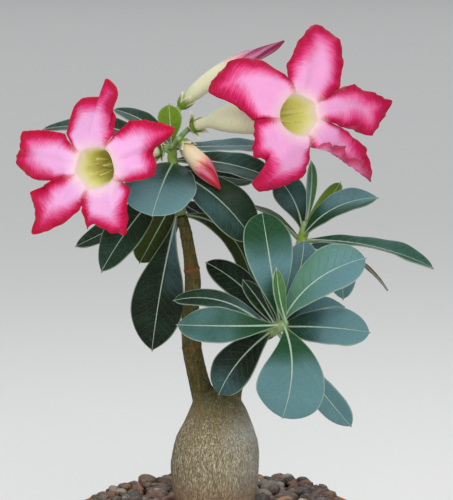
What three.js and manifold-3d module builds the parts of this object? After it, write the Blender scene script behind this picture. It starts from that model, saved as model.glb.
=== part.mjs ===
// A desert rose in a clay pot: a swollen caudex with two woody stems, three leafy
// shoots, two open blooms and two buds, rooted in soil under a top of gravel.
// Millimetres, +Z up, +x to the right, +y away from the front.
// The origin is the centre of the pot's foot.
import * as THREE from 'three';
import { mergeVertices } from 'three/addons/utils/BufferGeometryUtils.js';
import Module from 'manifold-3d';

const wasm = await Module();
wasm.setup();

// ---------- driving dimensions ----------

const GAP = 0.3;                 // clearance between pieces that touch

const POT_HEIGHT = 77;
const POT_RADIUS = 66;           // outside of the rim band
const POT_WALL = 5;
const POT_FOOT_RADIUS = 42;
const POT_FLOOR = 6;
const RIM_BAND = 18;             // height of the band under the rim
const RIM_STEP = 2.5;            // how far the band stands out
const EDGE_ROUND = 1.5;
const DRAIN_RADIUS = 5;
const DRAIN_RING = 22;           // the drain holes stand round a solid centre
const DRAIN_COUNT = 3;
const DRAIN_SIDES = 16;
const POT_SIDES = 32;
const BED_SIDES = 28;            // of the soil and the gravel bed

const SOIL_TOP = 73;
const GRAVEL_EDGE = 75.5;        // height of the gravel bed at the pot's wall
const GRAVEL_SHOULDER = 80.5;    // where it is heaped, a little way in
const GRAVEL_CROWN = 81.0;       // and round the caudex
const GRAVEL_SLOPE = 5;          // width of the slope down to the wall
const PEBBLE_COUNT = 76;
const PEBBLE_RADIUS = 4.8;
const PEBBLE_FREE = 14;          // no pebbles nearer the middle, where the caudex stands
const PEBBLE_SEED = 7;

const CAUDEX_SIDES = 22;
const BLADE = 0.7;               // thickness of a leaf blade
const PETIOLE = 1.7;             // thickness where a leaf meets its shoot
const PETAL = 0.75;              // thickness of a petal
const MOUTH_RADIUS = 8.5;        // the throat of an open bloom
const TAU = 2 * Math.PI;

// ---------- materials ----------

const finish = (color, roughness) => new THREE.MeshStandardMaterial({ color, roughness, metalness: 0 });

const TERRACOTTA = finish(0xb3623c, 0.85);
const SOIL = finish(0x3a2a1e, 1.0);
const GRAVEL = finish(0x8a7460, 0.8);
const BARK = finish(0x8c8265, 0.8);
const SHOOT = finish(0x7f9a4e, 0.55);
const LEAF = finish(0x47695a, 0.45);
const YOUNG_LEAF = finish(0x7ea34c, 0.5);
const PETAL_PINK = finish(0xe8347c, 0.6);
const STAMEN = finish(0xc9c46a, 0.7);
const SEPAL = finish(0xa9bf6c, 0.6);

// ---------- solids ----------

const at = (x, y, z) => new THREE.Vector3(x, y, z);
const from = (list) => new THREE.Vector3(list[0], list[1], list[2]);

// A closed geometry as a manifold solid, facing outward.
function solid(geometry) {
  const bare = geometry.index ? geometry.toNonIndexed() : geometry.clone();
  bare.deleteAttribute('normal');
  bare.deleteAttribute('uv');
  const merged = mergeVertices(bare, 1e-4);
  const places = merged.attributes.position;
  const corners = merged.index.array;
  const corner = at(0, 0, 0);
  const triangles = [];
  let volume = 0;
  for (let i = 0; i < corners.length; i += 3) {
    const [a, b, c] = [corners[i], corners[i + 1], corners[i + 2]];
    if (a === b || b === c || c === a) continue;
    triangles.push([a, b, c]);
    const [p, q, r] = [a, b, c].map((k) => corner.clone().fromBufferAttribute(places, k));
    volume += p.dot(q.cross(r)) / 6;
  }
  const outward = volume > 0 ? triangles : triangles.map(([a, b, c]) => [a, c, b]);
  return new wasm.Manifold(new wasm.Mesh({
    numProp: 3,
    vertProperties: new Float32Array(places.array),
    triVerts: new Uint32Array(outward.flat()),
  }));
}

function geometryOf(manifold) {
  const mesh = manifold.getMesh();
  const geometry = new THREE.BufferGeometry();
  geometry.setAttribute('position', new THREE.BufferAttribute(mesh.vertProperties.slice(), 3));
  geometry.setIndex(new THREE.BufferAttribute(mesh.triVerts.slice(), 1));
  geometry.computeVertexNormals();
  return geometry;
}

const join = (solids) => solids.reduce((whole, piece) => whole.add(piece));
const larger = (one, other) => (other.volume() > one.volume() ? other : one);
const largest = (cut) => cut.decompose().reduce(larger);

function geometryFrom(points, triangles) {
  const geometry = new THREE.BufferGeometry();
  geometry.setAttribute('position', new THREE.Float32BufferAttribute(points.flatMap((p) => p.toArray()), 3));
  geometry.setIndex(triangles.flat());
  return geometry;
}

// Rings of equally many points, skinned and closed by a point at each end.
function loft(rings) {
  const sides = rings[0].length;
  const points = rings.flat();
  const triangles = [];
  for (let row = 0; row + 1 < rings.length; row++) {
    for (let k = 0; k < sides; k++) {
      const a = row * sides + k;
      const b = row * sides + (k + 1) % sides;
      triangles.push([a, b, b + sides], [a, b + sides, a + sides]);
    }
  }
  for (const [row, turn] of [[0, 1], [rings.length - 1, -1]]) {
    const centre = points.length;
    points.push(rings[row].reduce((sum, p) => sum.add(p), at(0, 0, 0)).divideScalar(sides));
    for (let k = 0; k < sides; k++) {
      const a = row * sides + k;
      const b = row * sides + (k + 1) % sides;
      triangles.push(turn > 0 ? [centre, b, a] : [centre, a, b]);
    }
  }
  return geometryFrom(points, triangles);
}

// Square axes carried along a line of points without twisting.
function axesAlong(points) {
  const tangents = points.map((p, i) => {
    const before = points[Math.max(0, i - 1)];
    const after = points[Math.min(points.length - 1, i + 1)];
    return after.clone().sub(before).normalize();
  });
  let side = at(0, -1, 0.2).cross(tangents[0]).normalize();
  return tangents.map((tangent) => {
    side = side.clone().addScaledVector(tangent, -side.dot(tangent)).normalize();
    return { tangent, side, up: tangent.clone().cross(side) };
  });
}

// A round stem along stations of [x, y, z, radius], made thicker by extra.
function stem(stations, sides = 10, extra = 0, steps = 2) {
  const line = new THREE.CatmullRomCurve3(stations.map(from), false, 'catmullrom', 0.5);
  const count = (stations.length - 1) * steps;
  const centres = Array.from({ length: count + 1 }, (_, i) => line.getPoint(i / count));
  const axes = axesAlong(centres);
  const rings = centres.map((centre, i) => {
    const step = Math.min(i / steps, stations.length - 1 - 1e-6);
    const before = stations[Math.floor(step)][3];
    const after = stations[Math.floor(step) + 1][3];
    const radius = before + (after - before) * (step - Math.floor(step)) + extra;
    const end = i === 0 ? -extra : i === count ? extra : 0;
    return Array.from({ length: sides }, (_, k) => centre.clone()
      .addScaledVector(axes[i].tangent, end)
      .addScaledVector(axes[i].side, radius * Math.cos(TAU * k / sides))
      .addScaledVector(axes[i].up, radius * Math.sin(TAU * k / sides)));
  });
  return solid(loft(rings));
}

// A sheet of triangles given a thickness at each point, alike on both faces.
function thicken(points, triangles, thickness) {
  const normals = points.map(() => at(0, 0, 0));
  const edges = new Set();
  for (const [a, b, c] of triangles) {
    const face = points[b].clone().sub(points[a]).cross(points[c].clone().sub(points[a]));
    for (const k of [a, b, c]) normals[k].add(face);
    for (const [p, q] of [[a, b], [b, c], [c, a]]) edges.add(`${p},${q}`);
  }
  const shifted = (sign) => points.map((p, k) => (
    p.clone().addScaledVector(normals[k].clone().normalize(), sign * thickness[k] / 2)));
  const count = points.length;
  const faces = triangles.flatMap(([a, b, c]) => [[a, b, c], [c + count, b + count, a + count]]);
  for (const edge of edges) {
    const [a, b] = edge.split(',').map(Number);
    if (!edges.has(`${b},${a}`)) faces.push([b, a, a + count], [b, a + count, b + count]);
  }
  return solid(geometryFrom([...shifted(1), ...shifted(-1)], faces));
}

// A grid of points, row by row, as triangles.
function gridTriangles(rows, columns, index = (i, j) => i * (columns + 1) + j) {
  const triangles = [];
  for (let i = 0; i < rows; i++) {
    for (let j = 0; j < columns; j++) {
      const [a, b, c, d] = [index(i, j), index(i, j + 1), index(i + 1, j + 1), index(i + 1, j)];
      triangles.push([a, b, c], [a, c, d]);
    }
  }
  return triangles;
}

function seeded(seed) {
  let state = seed;
  return () => {
    state = (state * 1664525 + 1013904223) % 4294967296;
    return state / 4294967296;
  };
}

// ---------- pot and soil ----------

// A profile of [radius, height] turned round the vertical axis.
function turned(profile, sides = POT_SIDES) {
  const outline = profile.map(([radius, height]) => new THREE.Vector2(radius, height));
  return solid(new THREE.LatheGeometry(outline, sides).rotateX(Math.PI / 2));
}

const underBand = POT_HEIGHT - RIM_BAND;
const bodyRadius = POT_RADIUS - RIM_STEP;
const wallSlope = (bodyRadius - POT_FOOT_RADIUS) / underBand;
const innerRadius = (height) => (height < underBand
  ? POT_FOOT_RADIUS + wallSlope * height - POT_WALL
  : bodyRadius - POT_WALL + (RIM_STEP - 0.5) * (height - underBand) / RIM_BAND);

function pot() {
  const body = turned([
    [0, 0], [POT_FOOT_RADIUS - EDGE_ROUND, 0], [POT_FOOT_RADIUS, EDGE_ROUND],
    [bodyRadius - 0.5, underBand - EDGE_ROUND], [POT_RADIUS - EDGE_ROUND, underBand],
    [POT_RADIUS, underBand + EDGE_ROUND], [POT_RADIUS, POT_HEIGHT - EDGE_ROUND],
    [POT_RADIUS - EDGE_ROUND, POT_HEIGHT], [innerRadius(POT_HEIGHT) + 1, POT_HEIGHT],
    [innerRadius(POT_HEIGHT), POT_HEIGHT - 1], [innerRadius(underBand), underBand],
    [innerRadius(POT_FLOOR), POT_FLOOR], [0, POT_FLOOR],
  ]);
  const drains = Array.from({ length: DRAIN_COUNT }, (_, k) => {
    const turn = TAU * (k + 0.25) / DRAIN_COUNT;
    const drain = new THREE.CylinderGeometry(DRAIN_RADIUS, DRAIN_RADIUS, 3 * POT_FLOOR, DRAIN_SIDES);
    const [x, y] = [DRAIN_RING * Math.cos(turn), DRAIN_RING * Math.sin(turn)];
    return solid(drain.rotateX(Math.PI / 2).translate(x, y, POT_FLOOR / 2));
  });
  return body.subtract(join(drains));
}

// ---------- caudex and woody stems ----------

// Stations of [height, middle x, half width], from the taproot to the shoulder.
const CAUDEX = [
  [38, 0.5, 2.5], [52, 0.4, 6.5], [66, 0.3, 12], [76, 0.2, 15.2],
  [85, 0.2, 17.0], [94, 0.1, 18.2], [103, 0.3, 18.4], [111.5, 0.7, 17.2], [118, 1.1, 14.8],
  [124.5, 1.4, 12.2], [129, 1.2, 10.3], [133, 0.8, 7.6],
];
const CAUDEX_DEPTH = 0.94;       // front to back, as a share of its width

const TRUNK = [
  [-1.6, 0, 120, 7.5], [-4.0, 0, 128, 5.4], [-6.2, 0, 135, 4.5], [-8.2, 0, 143, 4.3],
  [-10.0, 0, 153, 4.1], [-10.3, 0, 166, 3.7], [-9.3, 0, 178.8, 3.4], [-10.1, 0, 188.7, 3.0],
  [-12.2, 0, 200.6, 2.7], [-14.2, 0, 208.2, 2.6],
];
const SECOND_STEM = [
  [5.0, 0, 122, 6.2], [7.0, -1, 131, 4.4], [10.0, -4, 142, 3.5], [13.2, -9, 151.5, 3.2],
  [18.0, -18, 159.5, 2.9], [22.6, -26, 164, 2.7],
];
const SIDE_STEM = [
  [12.4, -6, 150.5, 2.6], [16.8, -3, 156.5, 2.8], [25.4, 2, 166, 2.6],
  [32.4, 8, 178, 2.4], [35.7, 12, 190, 2.3],
];

function caudexBody(extra = 0) {
  const rings = CAUDEX.map(([height, middle, half]) => Array.from({ length: CAUDEX_SIDES }, (_, k) => {
    const turn = TAU * k / CAUDEX_SIDES;
    const lobe = 1 + 0.025 * Math.cos(2 * turn + 0.06 * height) + 0.015 * Math.cos(5 * turn - 0.03 * height);
    const radius = half * lobe + extra;
    return at(middle + radius * Math.cos(turn), CAUDEX_DEPTH * radius * Math.sin(turn), height);
  }));
  return solid(loft(rings));
}

const woodyStems = (extra) => join([
  stem(TRUNK, 12, extra), stem(SECOND_STEM, 10, extra), stem(SIDE_STEM, 10, extra),
]);

// ---------- gravel ----------

function pebble(draw, x, y, ground) {
  const stone = new THREE.IcosahedronGeometry(1, 0);
  const [long, wide, high] = [1.25, 1.0, 0.78].map((share) => PEBBLE_RADIUS * share * (0.85 + 0.3 * draw()));
  stone.scale(long, wide, high).rotateZ(TAU * draw()).rotateX(0.5 * (draw() - 0.5));
  return solid(stone.translate(x, y, ground + 0.25 * high));
}

const gravelReach = innerRadius(GRAVEL_EDGE) - GAP;
const shoulderReach = gravelReach - GRAVEL_SLOPE;
const gravelHeight = (radius) => (radius < shoulderReach
  ? GRAVEL_CROWN + (GRAVEL_SHOULDER - GRAVEL_CROWN) * radius / shoulderReach
  : GRAVEL_SHOULDER + (GRAVEL_EDGE - GRAVEL_SHOULDER) * (radius - shoulderReach) / GRAVEL_SLOPE);

// A domed bed with pebbles half sunk in it, laid out like seeds on a sunflower.
function gravel() {
  const draw = seeded(PEBBLE_SEED);
  const outer = innerRadius(SOIL_TOP) - GAP;
  const bed = turned([[0, SOIL_TOP + GAP], [outer, SOIL_TOP + GAP],
    [gravelReach, GRAVEL_EDGE], [shoulderReach, GRAVEL_SHOULDER], [0, GRAVEL_CROWN]], BED_SIDES);
  const reach = gravelReach - 1.1 * PEBBLE_RADIUS;
  const start = PEBBLE_FREE / reach;
  const stones = Array.from({ length: PEBBLE_COUNT }, (_, k) => {
    const radius = reach * Math.sqrt(start * start + (1 - start * start) * (k + 0.5) / PEBBLE_COUNT);
    const turn = k * Math.PI * (3 - Math.sqrt(5));
    return pebble(draw, radius * Math.cos(turn), radius * Math.sin(turn), gravelHeight(radius));
  });
  return largest(join([bed, ...stones]).subtract(caudexBody(GAP)));
}

function soil() {
  const low = POT_FLOOR + GAP;
  const plug = turned([[0, low], [innerRadius(low) - GAP, low], [innerRadius(underBand) - GAP, underBand],
    [innerRadius(SOIL_TOP) - GAP, SOIL_TOP], [0, SOIL_TOP]], BED_SIDES);
  return plug.subtract(caudexBody(GAP));
}

// ---------- green shoots ----------

// Each shoot is the leafy end of a stem: stations of [x, y, z, radius].
const SHOOTS = {
  front: [
    [22.8, -26.5, 164.2, 2.6], [25.0, -32, 166.6, 2.5], [27.0, -37.5, 168.8, 2.2], [28.6, -42, 170.8, 1.3],
  ],
  right: [
    [35.9, 12, 190.9, 2.3], [36.8, 12, 195.5, 2.3], [37.8, 11.6, 200, 2.1], [38.6, 11.2, 204.5, 1.2],
  ],
  top: [
    [-14.3, 0, 208.6, 2.5], [-15.6, 0, 216, 2.4], [-16.8, -0.4, 225, 2.2], [-17.6, -1.4, 233, 2.1],
    [-18.0, -2, 238.2, 1.9],
  ],
};

// ---------- flowers ----------

const CROWN = [-18.0, -2, 237.0];   // where the flower stalks part

// An open bloom: its foot, a point that its stalk passes, the way it sets out, the middle of its
// mouth, the way the mouth faces, and its five petals, each as the points of its end, from its
// right side round to its left: [across, up, forward] from the mouth.
const BLOOMS = {
  left: {
    foot: [-21.6, -14, 237.5],
    past: [-19.7, -8, 238.1],
    leaves: [-0.72, -0.68, -0.12],
    mouth: [-47.0, -46, 233.8],
    faces: [-0.35, -0.93, 0.05],
    petals: [
      [[13.4, -5.1, -2], [21.9, -2.9, -4], [25.2, 2.0, -3], [22.1, 7.2, -6], [32.6, 15.9, -4],
        [21.5, 19.1, -4], [13.4, 19.0, -3]],
      [[9.0, 18.4, 1], [10.4, 25.6, 3], [7.3, 34.0, 2], [-2.6, 27.0, -4], [-10.8, 25.9, -5],
        [-13.3, 18.3, -4]],
      [[-22.0, 14.1, -3], [-34.6, 12.7, -6], [-34.9, 6.7, -5], [-38.6, 2.0, -8], [-34.0, -3.8, -6],
        [-27.2, -6.4, -5]],
      [[-23.1, -8.6, -2], [-30.8, -12.0, -5], [-28.0, -19.1, -4], [-30.7, -28.4, -7],
        [-18.2, -24.3, -5], [-9.9, -18.6, -4]],
      [[-5.5, -17.8, -2], [-5.0, -25.3, -5], [2.4, -23.1, -3], [9.8, -27.0, -6], [12.2, -15.6, -4],
        [12.6, -7.8, -5]],
    ],
  },
  right: {
    foot: [-9.8, -6, 245.7],
    past: [-14.2, -4, 241.8],
    leaves: [0.66, -0.6, 0.36],
    mouth: [33.9, -28, 253.1],
    faces: [0.40, -0.90, 0.19],
    petals: [
      [[24.0, -5.0, -3], [35.0, -9.3, -6], [40.2, -2.6, -5], [46.6, 4.2, -8], [36.5, 8.3, -5],
        [28.6, 12.2, -5]],
      [[20.6, 13.2, -3], [24.4, 23.1, -5], [23.0, 32.4, -7], [13.9, 37.3, -8], [6.0, 31.0, -6],
        [-0.8, 20.4, -5]],
      [[-3.8, 16.6, -3], [-12.6, 22.6, -4], [-23.1, 24.0, -6], [-31.0, 18.3, -7], [-36.3, 11.2, -6],
        [-26.6, 7.5, -5]],
      [[-20.3, -10.5, -3], [-20.3, -15.8, -2], [-14.3, -17.9, -4], [-20.3, -26.0, -5],
        [-16.2, -29.7, -6], [0.7, -25.4, -5], [5.6, -19.6, -5]],
      [[7.6, -13.0, -2], [14.4, -16.0, 0], [20.5, -20.0, -3], [34.5, -27.6, -9], [30.7, -15.0, -5],
        [25.6, -9.2, -6]],
    ],
  },
};

// Along the corolla tube: how far, as a share of its length, and how wide.
const TUBE_STATIONS = [[0.04, 1.8], [0.15, 2.1], [0.27, 4.6], [0.45, 6.2], [0.84, 7.0], [1, MOUTH_RADIUS]];
const CUP = 1.15;                // the tube's foot stands this far above the calyx's
const PETAL_COLUMNS = 5;
const PETAL_ROWS = 4;
const JOINED_ROWS = 2;           // petals are one sheet up to this row
const NOTCH_DEPTH = 0.8;         // where two petals part, as a share of the way to their ends
const PETAL_LIFT = 3.5;          // how far a petal rises out of the mouth before it spreads

// The middle line of a corolla tube.
function tubeLine(bloom) {
  const [foot, leaves, mouth, faces] = [bloom.foot, bloom.leaves, bloom.mouth, bloom.faces].map(from);
  const start = foot.clone().addScaledVector(leaves.normalize(), CUP);
  const reach = 0.38 * start.distanceTo(mouth);
  return new THREE.CubicBezierCurve3(start, start.clone().addScaledVector(leaves, reach),
    mouth.clone().addScaledVector(faces.normalize(), -reach), mouth);
}

// Upright axes for the mouth: across to the right, and up.
function mouthAxes(faces) {
  const forward = from(faces).normalize();
  const up = at(0, 0, 1).addScaledVector(forward, -forward.z).normalize();
  return { forward, up, across: up.clone().cross(forward) };
}

// Across and up at a share of the tube, turned from those of the mouth.
function tubeAxes(line, share, mouth) {
  const turn = new THREE.Quaternion().setFromUnitVectors(mouth.forward, line.getTangent(share));
  return { across: mouth.across.clone().applyQuaternion(turn), up: mouth.up.clone().applyQuaternion(turn) };
}

const turnOf = (point) => Math.atan2(point[1], point[0]);
const between = (from, to) => ((to - from) % TAU + TAU) % TAU;

// The angles at which neighbouring petals part, one before each petal.
function notches(petals) {
  return petals.map((petal, k) => {
    const before = petals[(k + petals.length - 1) % petals.length];
    const end = turnOf(before[before.length - 1]);
    return end + between(end, turnOf(petal[0])) / 2;
  });
}

// Tube and petals as one sheet that runs on from the foot to the petals' ends.
function corolla(bloom) {
  const line = tubeLine(bloom);
  const mouth = mouthAxes(bloom.faces);
  const parts = notches(bloom.petals);
  const turns = bloom.petals.flatMap((_, k) => {
    const sweep = between(parts[k], parts[(k + 1) % parts.length]);
    return Array.from({ length: PETAL_COLUMNS }, (_, j) => parts[k] + sweep * j / PETAL_COLUMNS);
  });
  const sides = turns.length;
  const points = [line.getPoint(0)];
  const triangles = turns.map((_, k) => [0, 1 + (k + 1) % sides, 1 + k]);
  TUBE_STATIONS.forEach(([share, radius], row) => {
    const axes = tubeAxes(line, share, mouth);
    for (const turn of turns) {
      points.push(line.getPoint(share).addScaledVector(axes.across, radius * Math.cos(turn))
        .addScaledVector(axes.up, radius * Math.sin(turn)));
    }
    if (row === 0) return;
    const ring = 1 + (row - 1) * sides;
    triangles.push(...gridTriangles(1, sides, (i, j) => ring + i * sides + j % sides));
  });
  const rim = 1 + (TUBE_STATIONS.length - 1) * sides;
  const spread = (base, end, share) => {
    const knee = base.clone().lerp(end, 0.42).addScaledVector(mouth.forward, PETAL_LIFT);
    return new THREE.QuadraticBezierCurve3(base, knee, end).getPoint(share);
  };
  const placed = ([across, up, forward], share = 1) => line.getPoint(1)
    .addScaledVector(mouth.across, across * share).addScaledVector(mouth.up, up * share)
    .addScaledVector(mouth.forward, forward * share);
  const ends = bloom.petals.map((petal) => {
    const margin = new THREE.CatmullRomCurve3(petal.map(from), false, 'catmullrom', 0.4);
    return Array.from({ length: PETAL_COLUMNS + 1 }, (_, j) => margin.getPoint(j / PETAL_COLUMNS).toArray());
  });
  const notchPoints = ends.map((end, k) => {
    const before = ends[(k + ends.length - 1) % ends.length][PETAL_COLUMNS];
    return placed(before, NOTCH_DEPTH).lerp(placed(end[0], NOTCH_DEPTH), 0.5);
  });
  for (let row = 1; row <= JOINED_ROWS; row++) {
    for (let k = 0; k < sides; k++) {
      const [petal, j] = [Math.floor(k / PETAL_COLUMNS), k % PETAL_COLUMNS];
      points.push(j === 0
        ? spread(points[rim + k], notchPoints[petal], row / JOINED_ROWS)
        : spread(points[rim + k], placed(ends[petal][j]), row / PETAL_ROWS));
    }
  }
  triangles.push(...gridTriangles(JOINED_ROWS, sides, (i, j) => rim + i * sides + j % sides));
  ends.forEach((end, k) => {
    const first = points.length;
    const joined = rim + JOINED_ROWS * sides;
    const edge = [notchPoints[k], notchPoints[(k + 1) % ends.length]];
    for (let row = JOINED_ROWS + 1; row <= PETAL_ROWS; row++) {
      for (let j = 0; j <= PETAL_COLUMNS; j++) {
        const side = j === 0 ? edge[0] : j === PETAL_COLUMNS ? edge[1] : null;
        const free = (row - JOINED_ROWS) / (PETAL_ROWS - JOINED_ROWS);
        points.push(side
          ? side.clone().lerp(placed(end[j]), free)
          : spread(points[rim + k * PETAL_COLUMNS + j], placed(end[j]), row / PETAL_ROWS));
      }
    }
    const index = (i, j) => (i === 0
      ? joined + (k * PETAL_COLUMNS + j) % sides
      : first + (i - 1) * (PETAL_COLUMNS + 1) + j);
    triangles.push(...gridTriangles(PETAL_ROWS - JOINED_ROWS, PETAL_COLUMNS, index));
  });
  return thicken(points, triangles, points.map(() => PETAL));
}

// The column and anther cone in the throat, with five threads that reach for the mouth.
const COLUMN = [[0.075, 1.0], [0.17, 1.2], [0.36, 2.3], [0.55, 2.5], [0.78, 0.5]];

function stamens(bloom) {
  const line = tubeLine(bloom);
  const mouth = mouthAxes(bloom.faces);
  const column = stem(COLUMN.map(([share, radius]) => [...line.getPoint(share).toArray(), radius]), 8, 0, 1);
  const threads = Array.from({ length: 5 }, (_, k) => {
    const turn = TAU * k / 5 + 0.3;
    return stem([[0.5, 1.0, 0.6], [0.74, 2.6, 0.5], [0.97, 3.4, 0.4]].map(([share, out, radius]) => {
      const axes = tubeAxes(line, share, mouth);
      const place = line.getPoint(share).addScaledVector(axes.across, out * Math.cos(turn))
        .addScaledVector(axes.up, out * Math.sin(turn));
      return [...place.toArray(), radius];
    }), 4, 0, 1);
  });
  return join([column, ...threads]);
}

// A cup of five pointed sepals on the end of a pedicel.
function calyx(footList, wayList, spread = 6.5, rise = 3.6) {
  const foot = from(footList);
  const way = from(wayList).normalize();
  const side = at(0, 0, 1).cross(way).normalize();
  const up = way.clone().cross(side);
  const place = (height, radius, turn) => foot.clone().addScaledVector(way, height)
    .addScaledVector(side, radius * Math.cos(turn)).addScaledVector(up, radius * Math.sin(turn));
  const sides = 10;
  const points = [foot.clone()];
  for (const [height, radius] of [[0.3, 1.7], [1.7, 3.2]]) {
    for (let k = 0; k < sides; k++) points.push(place(height, radius, TAU * k / sides));
  }
  for (let k = 0; k < 5; k++) points.push(place(rise, spread, TAU * (2 * k + 1) / sides));
  const triangles = [];
  for (let k = 0; k < sides; k++) {
    const next = (k + 1) % sides;
    const [low, lowNext] = [1 + k, 1 + next];
    const [high, highNext] = [low + sides, lowNext + sides];
    const point = 1 + 2 * sides + Math.floor(k / 2);
    triangles.push([0, lowNext, low], [low, lowNext, highNext], [low, highNext, high]);
    triangles.push([high, highNext, point]);
  }
  return thicken(points, triangles, points.map(() => PETAL));
}

// A furled bud along stations of [x, y, z, radius], with five folds wound round it.
function bud(stations, twist, sides = 15) {
  const line = new THREE.CatmullRomCurve3(stations.map(from));
  const count = (stations.length - 1) * 2;
  const centres = Array.from({ length: count + 1 }, (_, i) => line.getPoint(i / count));
  const axes = axesAlong(centres);
  return solid(loft(centres.map((centre, i) => {
    const step = Math.min(i / 2, stations.length - 1 - 1e-6);
    const [before, after] = [stations[Math.floor(step)][3], stations[Math.floor(step) + 1][3]];
    const radius = before + (after - before) * (step - Math.floor(step));
    return Array.from({ length: sides }, (_, k) => {
      const turn = TAU * k / sides + twist * i / count;
      const fold = 1 + 0.09 * ((k % 3) - 1) * Math.min(1, 3 * i / count);
      return centre.clone().addScaledVector(axes[i].side, radius * fold * Math.cos(turn))
        .addScaledVector(axes[i].up, radius * fold * Math.sin(turn));
    });
  })));
}

const TALL_BUD = {
  foot: [-14.4, 1.8, 253.6],
  past: [-17.4, 0.6, 246],
  leaves: [0.62, 0.1, 0.78],
  stations: [
    [-13.8, 2.0, 254.4, 1.6], [-10.6, 2.5, 257.6, 2.6], [-7.0, 3.0, 260.8, 3.4],
    [-0.4, 4.0, 266.0, 3.6], [6.7, 5.8, 270.6, 3.3], [14.2, 8, 273.9, 2.9],
    [19.7, 10, 275.9, 2.4], [25.2, 12, 278.1, 1.6], [29.0, 14, 280.5, 0.5],
  ],
};
const SMALL_BUD = {
  foot: [-13.9, -8.6, 240.6],
  past: [-16.0, -6.0, 240.2],
  leaves: [0.62, -0.45, -0.64],
  stations: [
    [-13.3, -9.0, 239.9, 1.6], [-10.6, -10.6, 236.7, 3.2], [-7.3, -12.0, 233.1, 4.0],
    [-4.4, -13.0, 229.9, 4.1], [-1.5, -14.0, 226.3, 2.9], [2.2, -15.2, 221.5, 0.5],
  ],
};

// The stalks that carry the flowers, from the top of the shoot to each calyx.
function stalk(flower, extra) {
  const way = from(flower.leaves).normalize();
  const end = from(flower.foot).addScaledVector(way, -(PETAL / 2 + GAP));
  const neck = end.clone().addScaledVector(way, -1.6);
  const line = [[...CROWN, 1.5], [...flower.past, 1.2], [...neck.toArray(), 1.2], [...end.toArray(), 1.4]];
  return stem(line, 6, extra);
}

function flowerStalks(extra = 0) {
  const flowers = [BLOOMS.left, BLOOMS.right, SMALL_BUD, TALL_BUD];
  return join([stem(SHOOTS.top, 10, extra), ...flowers.map((flower) => stalk(flower, extra))]);
}

// ---------- leaves ----------

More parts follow.
